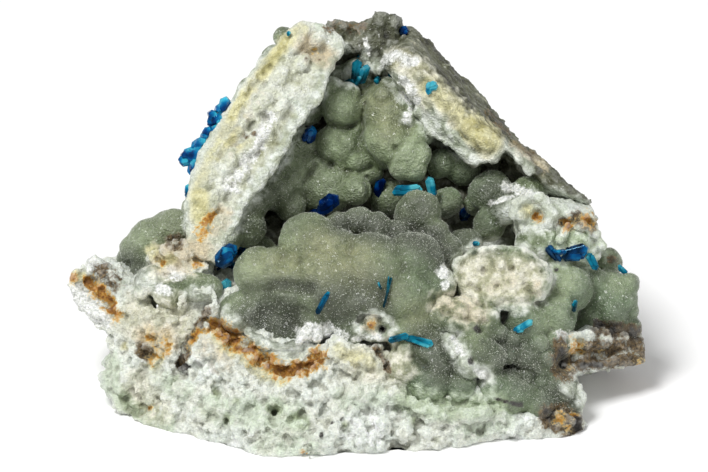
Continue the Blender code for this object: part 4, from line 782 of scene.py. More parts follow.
        (0.4, [(-9.3, -1.5)], 0.7), (0.3, [(-11.2, -1.55)], 0.7), (0.32, [(10.75, 1.1)], 0.9),
        (0.4, [(12.6, 0.7)], 0.75), (0.5, [(13.8, 0.95)], 0.8), (0.25, [(1.0, -5.2)], 0.9),
        (0.14, [(-3.0, -12.6)], 0.9), (0.18, [(-11.95, -10.05)], 0.9), (0.5, [(12.9, -6.4)], 0.8),
        (0.35, [(12.4, -7.7)], 0.7), (0.25, [(14.6, -7.1)], 0.6), (0.3, [(16.9, -7.3)], 0.6),
        (0.3, [(12.0, -10.6)], 0.7), (0.25, [(12.9, -10.6)], 0.6), (0.25, [(12.6, -11.3)], 0.7),
        (0.5, [(-11.9, -6.1), (-11.3, -6.4)], 0.65), (0.35, [(-11.8, -7.2)], 0.7),
        (0.3, [(-2.2, 10.9)], 0.55), (0.2, [(-1.6, -7.6)], 0.8),
    ],
    "black_and_shadow": [
        (0.24, [(7.2, -5.4)], 0.9), (0.18, [(6.8, -7.3)], 0.9), (0.34, [(-9.9, -7.8)], 0.7),
        (0.34, [(11.4, -10.4)], 0.8), (0.3, [(12.2, -6.8), (12.3, -7.6)], 0.8),
        # The second stroke on the next line is painted shadow on the right wing's top, under the domes.
        (0.2, [(13.4, -7.6), (14.6, -7.6)], 0.8), (0.45, [(14.2, -5.3), (16.6, -5.6)], 0.5),
        (0.4, [(13.2, -11.1)], 0.8), (0.15, [(8.4, -9.6), (9.8, -9.9)], 0.8), (0.22, [(1.65, -5.5)], 1.0),
        (0.12, [(-1.3, -10.9)], 0.9), (0.1, [(-0.7, -10.7)], 0.9), (0.12, [(-1.9, -11.6)], 0.9),
        (0.12, [(11.9, -2.0)], 0.9),
    ],
}
SOFT_TINTS = ("olive", "leaf", "smoke", "jade_painted_light")
BROKEN_TINTS = ("moss", "mint", "pale", "cream", "white", "tan", "ochre", "umber_and_shadow", "rust", "black_and_shadow")
# Stains, and the shadow painted in umber and black on the right wing's top, sit on single grains; the other
# tints run softly into the rock.
STAINS = ("white", "umber_and_shadow", "rust", "black_and_shadow")
# Where these lie on the crust it is broken and grainy.
GRAINY = ("mint", "cream", "white", "tan", "ochre", "umber_and_shadow", "rust", "black_and_shadow")
# The brush works this far behind the display face, and fades out over the last part of it, in mm.
BRUSH_REACH, BRUSH_FADE = 7.0, 1.5
# The left wall's broken edge ends this far back at its foot, further back the higher up, in mm.
EDGE_BACK, EDGE_SLOPE, EDGE_FADE = 1.4, 0.23, 0.5


def keep_mask(body, name, mask):
    """Keeps a value for each point, which a material reads by its name."""
    layer = body.data.attributes.new(name, "FLOAT", "POINT")
    layer.data.foreach_set("value", mask.astype(np.float32))


def paint(body, tints):
    """Keeps each tint's mask on the body for its material, and gives back where it is broken and grainy."""
    points = face_places(body)
    front = np.clip((points[:, 2] + BRUSH_REACH) / BRUSH_FADE, 0.0, 1.0)
    if body.name == "left_wall":
        # Behind its broken edge this wall keeps the crust's green skin.
        front = np.clip((points[:, 2] + EDGE_SLOPE * points[:, 1] + EDGE_BACK) / EDGE_FADE, 0.0, 1.0)
        keep_mask(body, "leaf", 1.0 - front)
    grain = np.zeros(len(points))
    for tint in tints:
        # Soft tints fade out over more of the brush than broken ones, and rust over the most.
        fading = 1.3 if tint in SOFT_TINTS else 1.7 if tint == "rust" else 0.9
        mask = np.zeros(len(points))
        for radius, path, strength in PAINT[tint]:
            mask = np.maximum(mask, strength * stroke(points, radius, path, fading * radius + 0.25))
        keep_mask(body, tint, mask * front)
        if tint in GRAINY:
            grain = np.maximum(grain, mask * front)
    return grain


def keep_dents(body, steps=12):
    """Keeps how far each point lies below or above its surroundings, from 0 on a ridge to 1 in a dent."""
    edges = numbers(body.data.edges, "vertices", 2, np.int32)
    start = places(body) / MM
    count = np.bincount(edges.ravel(), minlength=len(start))[:, None]
    soft = start.copy()
    for _ in range(steps):
        soft = np.stack([
            np.bincount(edges[:, 0], soft[edges[:, 1], axis], len(start))
            + np.bincount(edges[:, 1], soft[edges[:, 0], axis], len(start))
            for axis in range(3)
        ], axis=1) / count
    below = np.einsum("nk,nk->n", soft - start, numbers(body.data.vertices, "normal", 3))
    # From the top of a ridge to the bottom of a dent, in mm.
    span = 0.24
    keep_mask(body, "dent", np.clip(0.5 + below / span, 0.0, 1.0))


def weigh(body, name, weights):
    """A vertex group that holds the weights in ten steps."""
    group = body.vertex_groups.new(name=name)
    steps = np.rint(np.clip(weights, 0.0, 1.0) * 10).astype(int)
    for step in range(1, 11):
        chosen = np.nonzero(steps == step)[0]
        if len(chosen):
            group.add(chosen.tolist(), step / 10, "REPLACE")


def roughen(body, kind, size, height, group="", middle=0.5, **settings):
    """Relief from a texture of that feature size and height in mm."""
    texture = bpy.data.textures.new("relief", kind)
    texture.noise_scale = size * MM
    for name, value in settings.items():
        setattr(texture, name, value)
    apply_modifier(
        body, "DISPLACE", texture=texture, texture_coords="LOCAL", strength=height * MM,
        mid_level=middle, vertex_group=group,
    )
    bpy.data.textures.remove(texture)


def texture_crust(body):
    """Bubbly skin: soft swellings, and a fine sugary druse where it isn't broken."""
    grain = paint(body, SOFT_TINTS + BROKEN_TINTS)
    free = standing(body)
    weigh(body, "skin", free * (1.0 - grain))
    weigh(body, "broken", free * grain)
    roughen(body, "CLOUDS", 1.1, 0.16, "skin", noise_depth=1)
    roughen(body, "CLOUDS", 0.16, 0.035, "skin", noise_depth=1)
    roughen(body, "CLOUDS", 0.5, 0.2, "broken", noise_depth=3)
    roughen(body, "CLOUDS", 0.18, 0.09, "broken", noise_depth=1)
    put_places(body, places(body))
    keep_dents(body)
    return grain


def texture_matrix(body, height=1.0):
    """Broken, chalky rock: craggy at every scale down to its grains, its foot eaten away under the edge."""
    paint(body, ("smoke",) + BROKEN_TINTS)
    # Milky, greenish zones are this much smoother than the chalky ones.
    calm = 0.35
    milky = [numbers(body.data.attributes[tint].data, "value", 1).ravel() for tint in ("mint", "pale")]
    weigh(body, "free", standing(body) * (1.0 - calm * np.maximum(*milky)))
    # The foot is the lowest part of the sides; the flat underside isn't eaten away.
    foot_height = 0.8 * MM
    side = np.clip(1.6 + 1.6 * numbers(body.data.vertices, "normal", 3)[:, 2], 0.0, 1.0)
    weigh(body, "foot", side * np.clip(1.0 - places(body)[:, 2] / foot_height, 0.0, 1.0))
    roughen(body, "CLOUDS", 0.8, -0.45 * height, "foot", middle=0.4, noise_depth=2)
    roughen(body, "CLOUDS", 0.6, 0.42 * height, "free", noise_depth=3)
    roughen(body, "VORONOI", 0.45, -0.24 * height, "free", middle=0.4)
    roughen(body, "CLOUDS", 0.15, 0.12 * height, "free", noise_depth=1)
    put_places(body, places(body))
    keep_dents(body)


def linear(hex_colour):
    """Linear red, green, blue and alpha of an sRGB hex colour."""
    channels = [int(hex_colour[k:k + 2], 16) / 255.0 for k in (1, 3, 5)]
    return [c / 12.92 if c <= 0.04045 else ((c + 0.055) / 1.055) ** 2.4 for c in channels] + [1.0]


def spread(shades, start=0.0):
    """The stops of a colour ramp: evenly spaced shades, the first at the start and the last at 1."""
    step = (1.0 - start) / (len(shades) - 1)
    return [(start + number * step, linear(shade)) for number, shade in enumerate(shades)]


def add(tree, kind, inputs=None, output=0, stops=(), **settings):
    """Adds a node with its settings and links, and gives back one of its outputs."""
    node = tree.nodes.new(kind)
    for name, value in settings.items():
        setattr(node, name, value)
    for _ in stops[2:]:
        node.color_ramp.elements.new(0.5)
    for number, (position, colour) in enumerate(stops):
        node.color_ramp.elements[number].position = position
        node.color_ramp.elements[number].color = colour
    for name, value in (inputs or {}).items():
        if isinstance(value, bpy.types.NodeSocket):
            tree.links.new(value, node.inputs[name])
        else:
            node.inputs[name].default_value = value
    return node.outputs[output]


def new_material(name):
    """A material with its tree, its shader and places on the piece in millimetres."""
    material = bpy.data.materials.new(name)
    material.use_nodes = True
    tree = material.node_tree
    where = add(tree, "ShaderNodeTexCoord", output="Object")
    where = add(tree, "ShaderNodeMapping", {"Vector": where, "Scale": (1.0 / MM,) * 3})
    return material, tree, tree.nodes["Principled BSDF"], where


# Each tint's shades from its edge or its darker grains on, and its roughness.
TINTS = {
    # jade_painted_light is painted light: a paler green over lobes that lie in shade.
    "jade_painted_light": (("#718159", "#b0be9a"), 0.34),
    "olive": (("#757a55", "#a4a67f"), 0.34),
    "leaf": (("#435539", "#7b8f6d"), 0.34),
    "smoke": (("#2b3124", "#555c47"), 0.34),
    "moss": (("#5f6b3a", "#b4be93"), 0.5),
    "mint": (("#a2b28d", "#d3dfc8"), 0.5),
    "pale": (("#b3bba6", "#e4e9e0"), 0.35),
    "cream": (("#bdbb99", "#e9e7d6"), 0.7),
    "white": (("#d0d4cd", "#fafaf7"), 0.6),
    "tan": (("#b39c74", "#ddd0b0"), 0.75),
    "ochre": (("#b6ae6c", "#dfdbac"), 0.7),
    "rust": (("#e8dcaa", "#cfa348", "#b67c1c", "#7f500e"), 0.7),
    "umber_and_shadow": (("#33260f", "#7a6540"), 0.6),
    "black_and_shadow": (("#0f0d0a", "#3a342c"), 0.5),
}
# How far into a rust stain its palest shade reaches.
RUST_START = 0.35
HEMIMORPHITE_IOR = 1.61


def rock_material(name, ground, roughness, tints, dirt_and_shade, ridge_highlight, glow=0.0, sheen=0.0):
    """Rock: a wandering ground colour, painted tints that break up along the grain, dirt and painted shade
    in the dents, painted highlight on the ridges.
    """
    material, tree, shader, where = new_material(name)
    # Clouds about 3 mm and 0.6 mm wide, and single grains of about 0.2 mm.
    broad = add(tree, "ShaderNodeTexNoise", {"Vector": where, "Scale": 0.35, "Detail": 3.0})
    medium = add(tree, "ShaderNodeTexNoise", {"Vector": where, "Scale": 1.6, "Detail": 4.0})
    fine = add(tree, "ShaderNodeTexNoise", {
        "Vector": where, "Scale": 5.5, "Detail": 5.0, "Roughness": 0.65,
    })
    dent = add(tree, "ShaderNodeAttribute", output="Fac", attribute_name="dent")

    wander = add(tree, "ShaderNodeMath", {0: broad, 1: medium}, operation="ADD")
    wander = add(tree, "ShaderNodeMapRange", {"Value": wander, "From Min": 0.7, "From Max": 1.3})
    colour = add(tree, "ShaderNodeValToRGB", {"Fac": wander}, stops=spread(ground))

    # Ragged edges: coarse tongues from the medium noise, single grains from the fine one.
    tongues = add(tree, "ShaderNodeMath", {0: medium, 1: 2.0, 2: -1.0}, operation="MULTIPLY_ADD")
    ragged = add(tree, "ShaderNodeMath", {0: fine, 1: 1.3, 2: tongues}, operation="MULTIPLY_ADD")
    ragged = add(tree, "ShaderNodeMath", {0: ragged, 1: -0.65}, operation="ADD")
    mottle = add(tree, "ShaderNodeMapRange", {"Value": fine, "From Min": 0.36, "From Max": 0.64})
    drift = add(tree, "ShaderNodeMapRange", {"Value": medium, "From Min": 0.4, "From Max": 0.6})
    rough, skin = roughness, 1.0
    for tint in tints:
        shades, tint_roughness = TINTS[tint]
        mask = add(tree, "ShaderNodeAttribute", output="Fac", attribute_name=tint)
        if tint in SOFT_TINTS:
            share = add(tree, "ShaderNodeMath", {0: medium, 1: 1.4, 2: 0.3}, operation="MULTIPLY_ADD")
            share = add(tree, "ShaderNodeMath", {0: mask, 1: share}, operation="MULTIPLY", use_clamp=True)
            across = medium
        else:
            # No tint where the brush didn't go, however ragged its edge.
            near = add(tree, "ShaderNodeMapRange", {"Value": mask, "From Max": 0.15})
            stain = tint in STAINS
            edge = add(tree, "ShaderNodeMath", {0: mask, 1: ragged if stain else tongues}, operation="ADD")
            start, end = (0.25, 0.65) if stain else (0.15, 0.95)
            share = add(tree, "ShaderNodeMapRange", {"Value": edge, "From Min": start, "From Max": end})
            share = add(tree, "ShaderNodeMath", {0: share, 1: near}, operation="MULTIPLY")
            across = edge if tint == "rust" else mottle if stain else drift
            skin = add(tree, "ShaderNodeMix", {0: share, 2: skin, 3: 0.0})
        stops = spread(shades, RUST_START if tint == "rust" else 0.0)
        own = add(tree, "ShaderNodeValToRGB", {"Fac": across}, stops=stops)
        colour = add(tree, "ShaderNodeMix", {0: share, 6: colour, 7: own}, 2, data_type="RGBA")
        rough = add(tree, "ShaderNodeMix", {0: share, 2: rough, 3: tint_roughness})

    # Painted shade: dents are darkened for dirt and for the shade that falls in them. Painted highlight:
    # ridges are lightened.
    low = add(tree, "ShaderNodeMapRange", {"Value": dent, "From Min": 0.5, "From Max": 1.0, "To Max": dirt_and_shade})
    colour = add(tree, "ShaderNodeMix", {
        0: low, 6: colour, 7: linear("#6b6448"),
    }, 2, data_type="RGBA", blend_type="MULTIPLY")
    high = add(tree, "ShaderNodeMapRange", {
        "Value": dent, "From Min": 0.5, "From Max": 0.0, "To Max": ridge_highlight,
    })
    colour = add(tree, "ShaderNodeMix", {0: high, 6: colour, 7: linear("#f4f6f0")}, 2, data_type="RGBA")
    # Every grain is a little darker or lighter than the next.
    grain = add(tree, "ShaderNodeMapRange", {
        "Value": fine, "From Min": 0.3, "From Max": 0.7, "To Min": 0.76, "To Max": 1.18,
    })
    colour = add(tree, "ShaderNodeMix", {
        0: 1.0, 6: colour, 7: grain,
    }, 2, data_type="RGBA", blend_type="MULTIPLY")
    tree.links.new(colour, shader.inputs["Base Color"])
    tree.links.new(rough, shader.inputs["Roughness"])

    cells = add(tree, "ShaderNodeTexVoronoi", {"Vector": where, "Scale": 8.0})
    height = add(tree, "ShaderNodeMath", {0: cells, 1: 0.6, 2: fine}, operation="MULTIPLY_ADD")
    bump = add(tree, "ShaderNodeBump", {"Height": height, "Strength": 1.0, "Distance": 0.11 * MM})
    tree.links.new(bump, shader.inputs["Normal"])
    # Each 0.12 mm cell is a crystal face that leans its own way and catches the light by itself.
    lean = add(tree, "ShaderNodeVectorMath", {
        0: cells.node.outputs["Color"], 1: (0.5, 0.5, 0.5),
    }, operation="SUBTRACT")
    lean = add(tree, "ShaderNodeVectorMath", {0: lean, "Scale": 1.3}, operation="SCALE")
    normal = add(tree, "ShaderNodeNewGeometry", output="Normal")
    lean = add(tree, "ShaderNodeVectorMath", {0: lean, 1: normal}, operation="ADD")
    lean = add(tree, "ShaderNodeVectorMath", {0: lean}, operation="NORMALIZE")
    sparkle = add(tree, "ShaderNodeMath", {0: skin, 1: 0.3}, operation="MULTIPLY")
    tree.links.new(sparkle, shader.inputs["Coat Weight"])
    tree.links.new(lean, shader.inputs["Coat Normal"])
    shader.inputs["Coat Roughness"].default_value = 0.12
    shader.inputs["Subsurface Weight"].default_value = glow
    shader.inputs["Subsurface Radius"].default_value = (1.0, 1.0, 0.8)
    shader.inputs["Subsurface Scale"].default_value = 0.25 * MM
    shader.inputs["Sheen Weight"].default_value = sheen
    shader.inputs["Sheen Roughness"].default_value = 0.2
    shader.inputs["Sheen Tint"].default_value = linear("#dfe8d8")
    shader.inputs["IOR"].default_value = HEMIMORPHITE_IOR
    return material


def druse_material():
    """Glassy hemimorphite points: colourless, their colour run from olive grey to near white as painted
    glints.
    """
    material, tree, shader, where = new_material("druse_points")
    cloud = add(tree, "ShaderNodeTexNoise", {"Vector": where, "Scale": 3.0})
    colour = add(tree, "ShaderNodeMix", {
        0: cloud, 6: linear("#8d947b"), 7: linear("#f4f6ee"),
    }, 2, data_type="RGBA")
    tree.links.new(colour, shader.inputs["Base Color"])
    shader.inputs["Roughness"].default_value = 0.15
    shader.inputs["IOR"].default_value = HEMIMORPHITE_IOR
    return material


def dress(piece, material, nodes=("hemimorphite",), smooth=True):
    """Gives a finished piece its material, hangs it under the root and hides the nodes that it stands in
    for.
    """
    piece.data.materials.clear()
    piece.data.materials.append(material)
    one(piece.name)
    if smooth:
        bpy.ops.object.shade_smooth()
    else:
        bpy.ops.object.shade_flat()
    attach(piece, "root")
    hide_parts(*nodes)


def add_druse(body, grain, count, material):
    """Tiny crystal points all over the unbroken skin."""
    draw = np.random.default_rng(count)
    corners = [(1, 0, 0), (0, 1, 0), (-1, 0, 0), (0, -1, 0), (0, 0, 1), (0, 0, -1)]
    belt = [(corner, (corner + 1) % 4) for corner in range(4)]
    shape = new_thing("point", corners, [(a, b, 4) for a, b in belt] + [(b, a, 5) for a, b in belt])
    # Thickest on the smoky crust, and where the skin looks up towards the light, for more painted glints
    # there.
    smoke = numbers(body.data.attributes["smoke"].data, "value", 1).ravel()
    lit_from_above = np.clip(numbers(body.data.vertices, "normal", 3)[:, 2], 0.0, 1.0)
    thickness = standing(body) * (1.0 - grain) * (0.15 + smoke + 0.6 * lit_from_above) + 0.02
    spots, ways = sample(body, count, draw, thickness)
    ways = ways + 0.5 * draw.normal(size=ways.shape)
    sizes = draw.uniform(0.012, 0.028, (count, 1)) * np.array([[1.0, 1.0, 1.7]])
    druse = scatter(body.name + "_druse", shape, spots, ways, sizes, draw)
    bpy.data.objects.remove(shape, do_unlink=True)
    dress(druse, material, smooth=False)


def build_rock():
    """The whole rock: broken masses and walls first, then the crusts of bubbles with their druse."""
    # Botryoidal hemimorphite: a waxy, slightly see-through skin with a sugary glitter of tiny crystals.
    crust = rock_material(
        "botryoidal_hemimorphite", ("#475535", "#697752", "#8a9a73"), 0.36, SOFT_TINTS + BROKEN_TINTS,
        dirt_and_shade=0.6, ridge_highlight=0.1, glow=0.3, sheen=0.4,
    )
    # Broken hemimorphite: chalk white and granular, faintly green.
    broken = rock_material(
        "broken_hemimorphite", ("#ced2bf", "#e8ebe0", "#dfe6dc", "#f9fbf9"), 0.6, BROKEN_TINTS,
        dirt_and_shade=0.45, ridge_highlight=0.2, glow=0.2,
    )
    # The left wall's broken edge: duller and greener than the rest, its outer side still in its green skin.
    section = rock_material(
        "wall_section", ("#a3a585", "#d2d5bf", "#e3e6da", "#d0dac8"), 0.6, ("leaf",) + BROKEN_TINTS,
        dirt_and_shade=0.55, ridge_highlight=0.15, glow=0.2,
    )
    # The wall plates' weathered outer skin: dull olive brown.
    plate = rock_material(
        "weathered_plate", ("#25260f", "#444529", "#5b5e42", "#7d806a", "#acab92"), 0.5,
        ("smoke",) + BROKEN_TINTS, dirt_and_shade=0.5, ridge_highlight=0.2,
    )
    points = druse_material()

    rocks = []
    # Crumbs are how many, the smallest and the largest in mm; height is how craggy the rock is.
    for name, masses, rims, crumbs, material, height, fine in (
        ("core_rock", ["core"], [], [(500, 0.15, 0.45)], broken, 1.0, 0.17),
        ("broken_matrix", ["bottom_left", "bottom_rim", "bottom_right"],
         ["broken_lobe", "low_right", "bowl_edge"], [(1300, 0.2, 0.6), (2500, 0.1, 0.22)],
         broken, 1.1, 0.105),
        ("left_rubble", ["left_wing", "left_foot_rubble"], ["left_scallop"],
         [(450, 0.12, 0.36), (900, 0.08, 0.18)], broken, 0.9, 0.105),
        ("right_rubble", ["right_wing", "right_shoulder"], ["shoulder_lobe", "drape", "wing_edge"],
         [(150, 0.12, 0.34), (800, 0.07, 0.15)], broken, 0.6, 0.105),
        ("left_wall", ["left_wall_foot", "left_wall_middle", "left_wall_top"],
         ["left_wall_inner", "left_wall_outer"], [(350, 0.1, 0.24), (3000, 0.06, 0.12)],
         section, 0.38, 0.085),
        ("right_wall", ["right_wall", "right_wall_low"], ["right_wall_lower"],
         [(150, 0.12, 0.26), (1200, 0.06, 0.12)], plate, 0.5, 0.085),
        ("back_rock", ["back_wall", "summit_ridge", "summit_block"], [], [(900, 0.15, 0.4)],
         plate, 1.0, 0.13),
    ):
        # A calm rock loses its small swellings before its large ones.
        swell = [(2.6, 0.9 * height), (1.1, 0.5 * height ** 3 + 0.3 * height)]
        piece = grow(name, masses, rims=rims, crumbs=crumbs, swell=swell, fine=fine)
        texture_matrix(piece, height)
        press_back(piece)
        dress(piece, material)
        rocks.append(piece)

    for name, groups, rims, count, melt in (
        ("vault_crust", ["vault", "left_inner", "right_inner", "floor"], [], 9000, 1),
        ("centre_crust", ["centre", "below_centre"], ["hollow_lobe"], 11000, 6),
        ("right_crust", ["right_middle", "right_domes"], ["cream_oval"], 8000, 4),
        ("left_crust", ["left_domes", "outer_left"], [], 3500, 4),
    ):
        piece = grow(name, groups=groups, rims=rims, swell=[(1.7, 0.4)], rough=0.12, fine=0.1, melt=melt)
        grain = texture_crust(piece)
        dress(piece, crust)
        add_druse(piece, grain, count, points)
        rocks.append(piece)
    return rocks


# The blades of each crystal: across, up, length, width, thickness, turn on the face in degrees, and how
# far the tip rises out of the face in degrees. Where a blade doesn't sit on the rock that shows in front,
# how far out it lies comes last.
CRYSTALS = {
    "crystals_left_rim": [
        (-7.7, 7.55, 1.30, 0.75, 0.60, 62, 0, -1.6), (-8.2, 6.9, 1.20, 0.80, 0.60, 20, 10, -1.6),
        (-7.95, 6.35, 1.40, 0.75, 0.60, 70, 0, -1.5), (-8.65, 5.8, 1.30, 0.75, 0.60, 48, 5, -1.5),
        (-9.2, 5.35, 1.20, 0.75, 0.60, 35, 10, -1.5), (-9.7, 4.85, 1.20, 0.75, 0.60, 20, 5, -1.5),
        (-9.2, 4.6, 1.50, 0.95, 0.60, 65, 15, -1.4), (-9.9, 4.4, 1.00, 0.60, 0.50, 10, 5, -1.5),
        (-9.5, 4.0, 1.20, 0.65, 0.50, 80, 5, -1.4),
    ],
    "crystal_left_rim_foot": [(-9.75, 2.6, 0.95, 0.42, 0.40, 82, 0, -0.8)],
    "crystals_wall_foot": [
        (-7.6, -1.2, 1.80, 1.00, 0.60, 48, 15), (-6.9, -0.95, 1.90, 0.55, 0.45, 12, 10),
        (-7.7, -1.9, 1.60, 0.50, 0.40, 28, 20),
    ],
    "crystal_wall_foot_low": [(-7.5, -2.9, 1.00, 0.62, 0.35, 88, 20)],
    "crystal_inner_wall": [(-2.6, 6.0, 1.30, 0.75, 0.50, 78, 25), (-2.85, 5.9, 0.80, 0.45, 0.40, 60, 15)],
    "crystal_leaf": [(-1.5, 1.95, 1.80, 0.95, 0.30, 38, 20), (-2.1, 1.5, 1.50, 0.42, 0.28, 22, 10)],
    "crystal_vault_blade": [(1.5, 2.85, 1.30, 0.62, 0.30, 78, 20)],
    "crystals_vault_rod": [
        (3.2, 2.75, 1.90, 0.55, 0.40, 0, 5, -2.4), (4.55, 2.9, 1.40, 0.55, 0.42, 104, 15, -2.3),
    ],
    "crystal_shadow": [(6.6, 1.3, 1.10, 0.65, 0.45, 55, 30)],
    "crystals_apex_fan": [
        (0.15, 9.8, 1.6, 0.62, 0.34, 86, 15, -4.5), (0.6, 9.6, 1.4, 0.5, 0.3, 70, 15, -4.4),
        (-0.4, 9.1, 0.8, 0.35, 0.28, 25, 15, -4.7), (0.2, 9.2, 0.9, 0.4, 0.3, 66, 20, -4.5),
    ],
    "crystal_apex_round": [(1.4, 9.25, 0.62, 0.45, 0.30, 85, 25)],
    "crystal_apex_sliver": [(2.1, 9.5, 0.70, 0.16, 0.16, 72, 15)],
    "crystal_right_edge": [(4.6, 8.8, 0.90, 0.5, 0.34, 15, 20), (4.45, 8.7, 0.85, 0.42, 0.32, 75, 20)],
    "crystal_summit": [(2.95, 12.25, 0.80, 0.60, 0.50, 60, 5, -5.6)],
    "crystal_left_top": [(-3.85, 11.95, 0.40, 0.22, 0.20, 60, 10)],
    "crystals_right_pair": [
        (12.9, -1.0, 1.90, 0.90, 0.42, 8, 10), (11.7, -1.0, 1.30, 0.45, 0.32, 125, 20),
        (12.1, -0.95, 0.90, 0.35, 0.30, 5, 10),
    ],
    "crystal_right_drop": [(14.0, -1.5, 1.30, 0.46, 0.32, 118, 10)],
    "crystal_right_dome": [(15.85, -2.05, 0.75, 0.30, 0.26, 140, 0, -2.1)],
    "crystal_right_hollow": [(12.95, -4.1, 0.85, 0.30, 0.26, 80, 10)],
    "crystal_right_field": [
        (9.95, -5.25, 1.25, 0.42, 0.30, 30, 10), (9.7, -5.45, 0.70, 0.35, 0.26, 10, 10),
    ],
    "crystal_long_needle": [
        (3.75, -6.1, 2.00, 0.45, 0.32, -14, 6), (2.6, -5.95, 1.40, 0.42, 0.30, 16, 8),
    ],
    "crystal_thin_needle": [(1.95, -3.3, 1.90, 0.16, 0.16, 75, 6)],
    "crystal_centre_blade": [(-1.8, -3.85, 1.75, 0.36, 0.28, 62, 8)],
    "crystal_oval_top": [(7.2, -0.45, 0.55, 0.30, 0.25, 0, 15)],
    "crystal_centre_speck": [(1.5, -2.9, 0.55, 0.16, 0.16, 112, 6)],
    "crystal_vug_speck": [(0.3, 10.7, 0.40, 0.25, 0.22, 30, 15)],
}
# These are teal all through; the others are blue.
TEAL = (
    "crystals_apex_fan", "crystal_apex_round", "crystal_apex_sliver", "crystal_thin_needle",
    "crystal_centre_speck", "crystal_right_hollow", "crystal_vug_speck", "crystal_left_top",
)

# Clusters with more than the usual two side growths: how many, and how far they lean in degrees.
GROWTHS = {"crystals_left_rim": (5, 38.0), "crystals_wall_foot": (3, 20.0), "crystals_apex_fan": (2, 7.0)}

# How bright each crystal or cluster looks, from 0 for the deepest to 1; the others are 0.5. Partly their
# own colour and partly painted shade: crystal_shadow, lying in shade, is painted deep.
BRIGHTNESS_AND_SHADE = {
    "crystals_left_rim": 0.75, "crystal_left_rim_foot": 0.7, "crystals_wall_foot": 0.3,
    "crystal_wall_foot_low": 0.85, "crystal_inner_wall": 0.1, "crystal_leaf": 0.1,
    "crystal_vault_blade": 0.15, "crystals_vault_rod": 0.95, "crystal_shadow": 0.1,
    "crystals_apex_fan": 0.34, "crystal_apex_round": 0.3, "crystal_right_edge": 0.9, "crystal_summit": 0.1,
    "crystals_right_pair": 0.05, "crystal_right_drop": 0.8, "crystal_right_dome": 0.8,
    "crystal_right_field": 0.95, "crystal_long_needle": 0.6, "crystal_thin_needle": 0.15,
    "crystal_centre_blade": 0.15, "crystal_oval_top": 0.95,
}

# How far a blue crystal or cluster turns to sea green; the others are pure blue.
GREENNESS = {
    "crystals_left_rim": 0.15, "crystal_left_rim_foot": 0.6, "crystals_wall_foot": 0.3,
    "crystal_wall_foot_low": 0.8, "crystals_vault_rod": 0.85, "crystal_right_edge": 0.7,
    "crystals_right_pair": 0.3, "crystal_right_drop": 0.9, "crystal_right_dome": 0.8,
    "crystal_right_field": 0.8, "crystal_long_needle": 1.0, "crystal_centre_blade": 0.7,
    "crystal_oval_top": 0.8,
}

# From deep to bright.
BLUE_SHADES = ("#011746", "#033a8c", "#0780c8", "#3cd0f2")
SEA_SHADES = ("#02303f", "#056a86", "#10a4c2", "#74eaf6")
TEAL_SHADES = ("#022d36", "#04687a", "#14a6c6", "#92ecf8")


def veszelyite(name, shades, greener, depth_colour):
    """Veszelyite, grown as clear prisms: smooth glassy faces, from deep to bright along each crystal."""
    material, tree, shader, where = new_material(name)
    shade = add(tree, "ShaderNodeAttribute", output="Fac", attribute_name="shade")
    # A faint cloud shifts the shade from place to place.
    cloud = add(tree, "ShaderNodeTexNoise", {"Vector": where, "Scale": 1.8, "Detail": 1.0})
    share = add(tree, "ShaderNodeMath", {0: cloud, 1: 1.4, 2: shade}, operation="MULTIPLY_ADD")
    share = add(tree, "ShaderNodeMath", {0: share, 1: -0.72}, operation="ADD", use_clamp=True)
    green = add(tree, "ShaderNodeAttribute", output="Fac", attribute_name="green")
    own = add(tree, "ShaderNodeValToRGB", {"Fac": share}, stops=spread(shades))
    turned = add(tree, "ShaderNodeValToRGB", {"Fac": share}, stops=spread(greener))
    colour = add(tree, "ShaderNodeMix", {0: green, 6: own, 7: turned}, 2, data_type="RGBA")
    tree.links.new(colour, shader.inputs["Base Color"])
    shader.inputs["Specular IOR Level"].default_value = 0.22
    shader.inputs["Specular Tint"].default_value = linear("#8fd0f2")
    shader.inputs["Transmission Weight"].default_value = 0.5
    shader.inputs["Roughness"].default_value = 0.06
    shader.inputs["IOR"].default_value = 1.65
    absorb = add(tree, "ShaderNodeVolumeAbsorption", {"Color": linear(depth_colour), "Density": 300.0})
    tree.links.new(absorb, tree.nodes["Material Output"].inputs["Volume"])
    return material


def add_blade(length, width, thickness, shade):
    """A six-sided prism lying along X, both its ends cut to a ridge by two slanting faces."""
    bpy.ops.mesh.primitive_cylinder_add(vertices=6, radius=0.5, depth=1.0, rotation=(0, math.pi / 2, 0))
    blade = bpy.context.object
    bpy.ops.object.transform_apply(location=False, rotation=True, scale=False)
    blade.scale = (length, width, thickness)
    bpy.ops.object.transform_apply(location=False, rotation=False, scale=True)
    bpy.ops.object.mode_set(mode="EDIT")
    for side in (-1.0, 1.0):
        for tilt in (38.0, -30.0):
            bpy.ops.mesh.select_all(action="SELECT")
            bpy.ops.mesh.bisect(
                plane_co=(side * (length - 0.3 * width) / 2.0, 0.0, 0.0),
                plane_no=(side * math.cos(math.radians(tilt)), math.sin(math.radians(tilt)), 0.0),
                clear_outer=True, use_fill=True,
            )
    bpy.ops.object.mode_set(mode="OBJECT")
    along = np.array([point.co.x / length for point in blade.data.vertices])
    keep_mask(blade, "shade", np.clip(shade + 0.9 * along, 0.0, 1.0))
    return blade


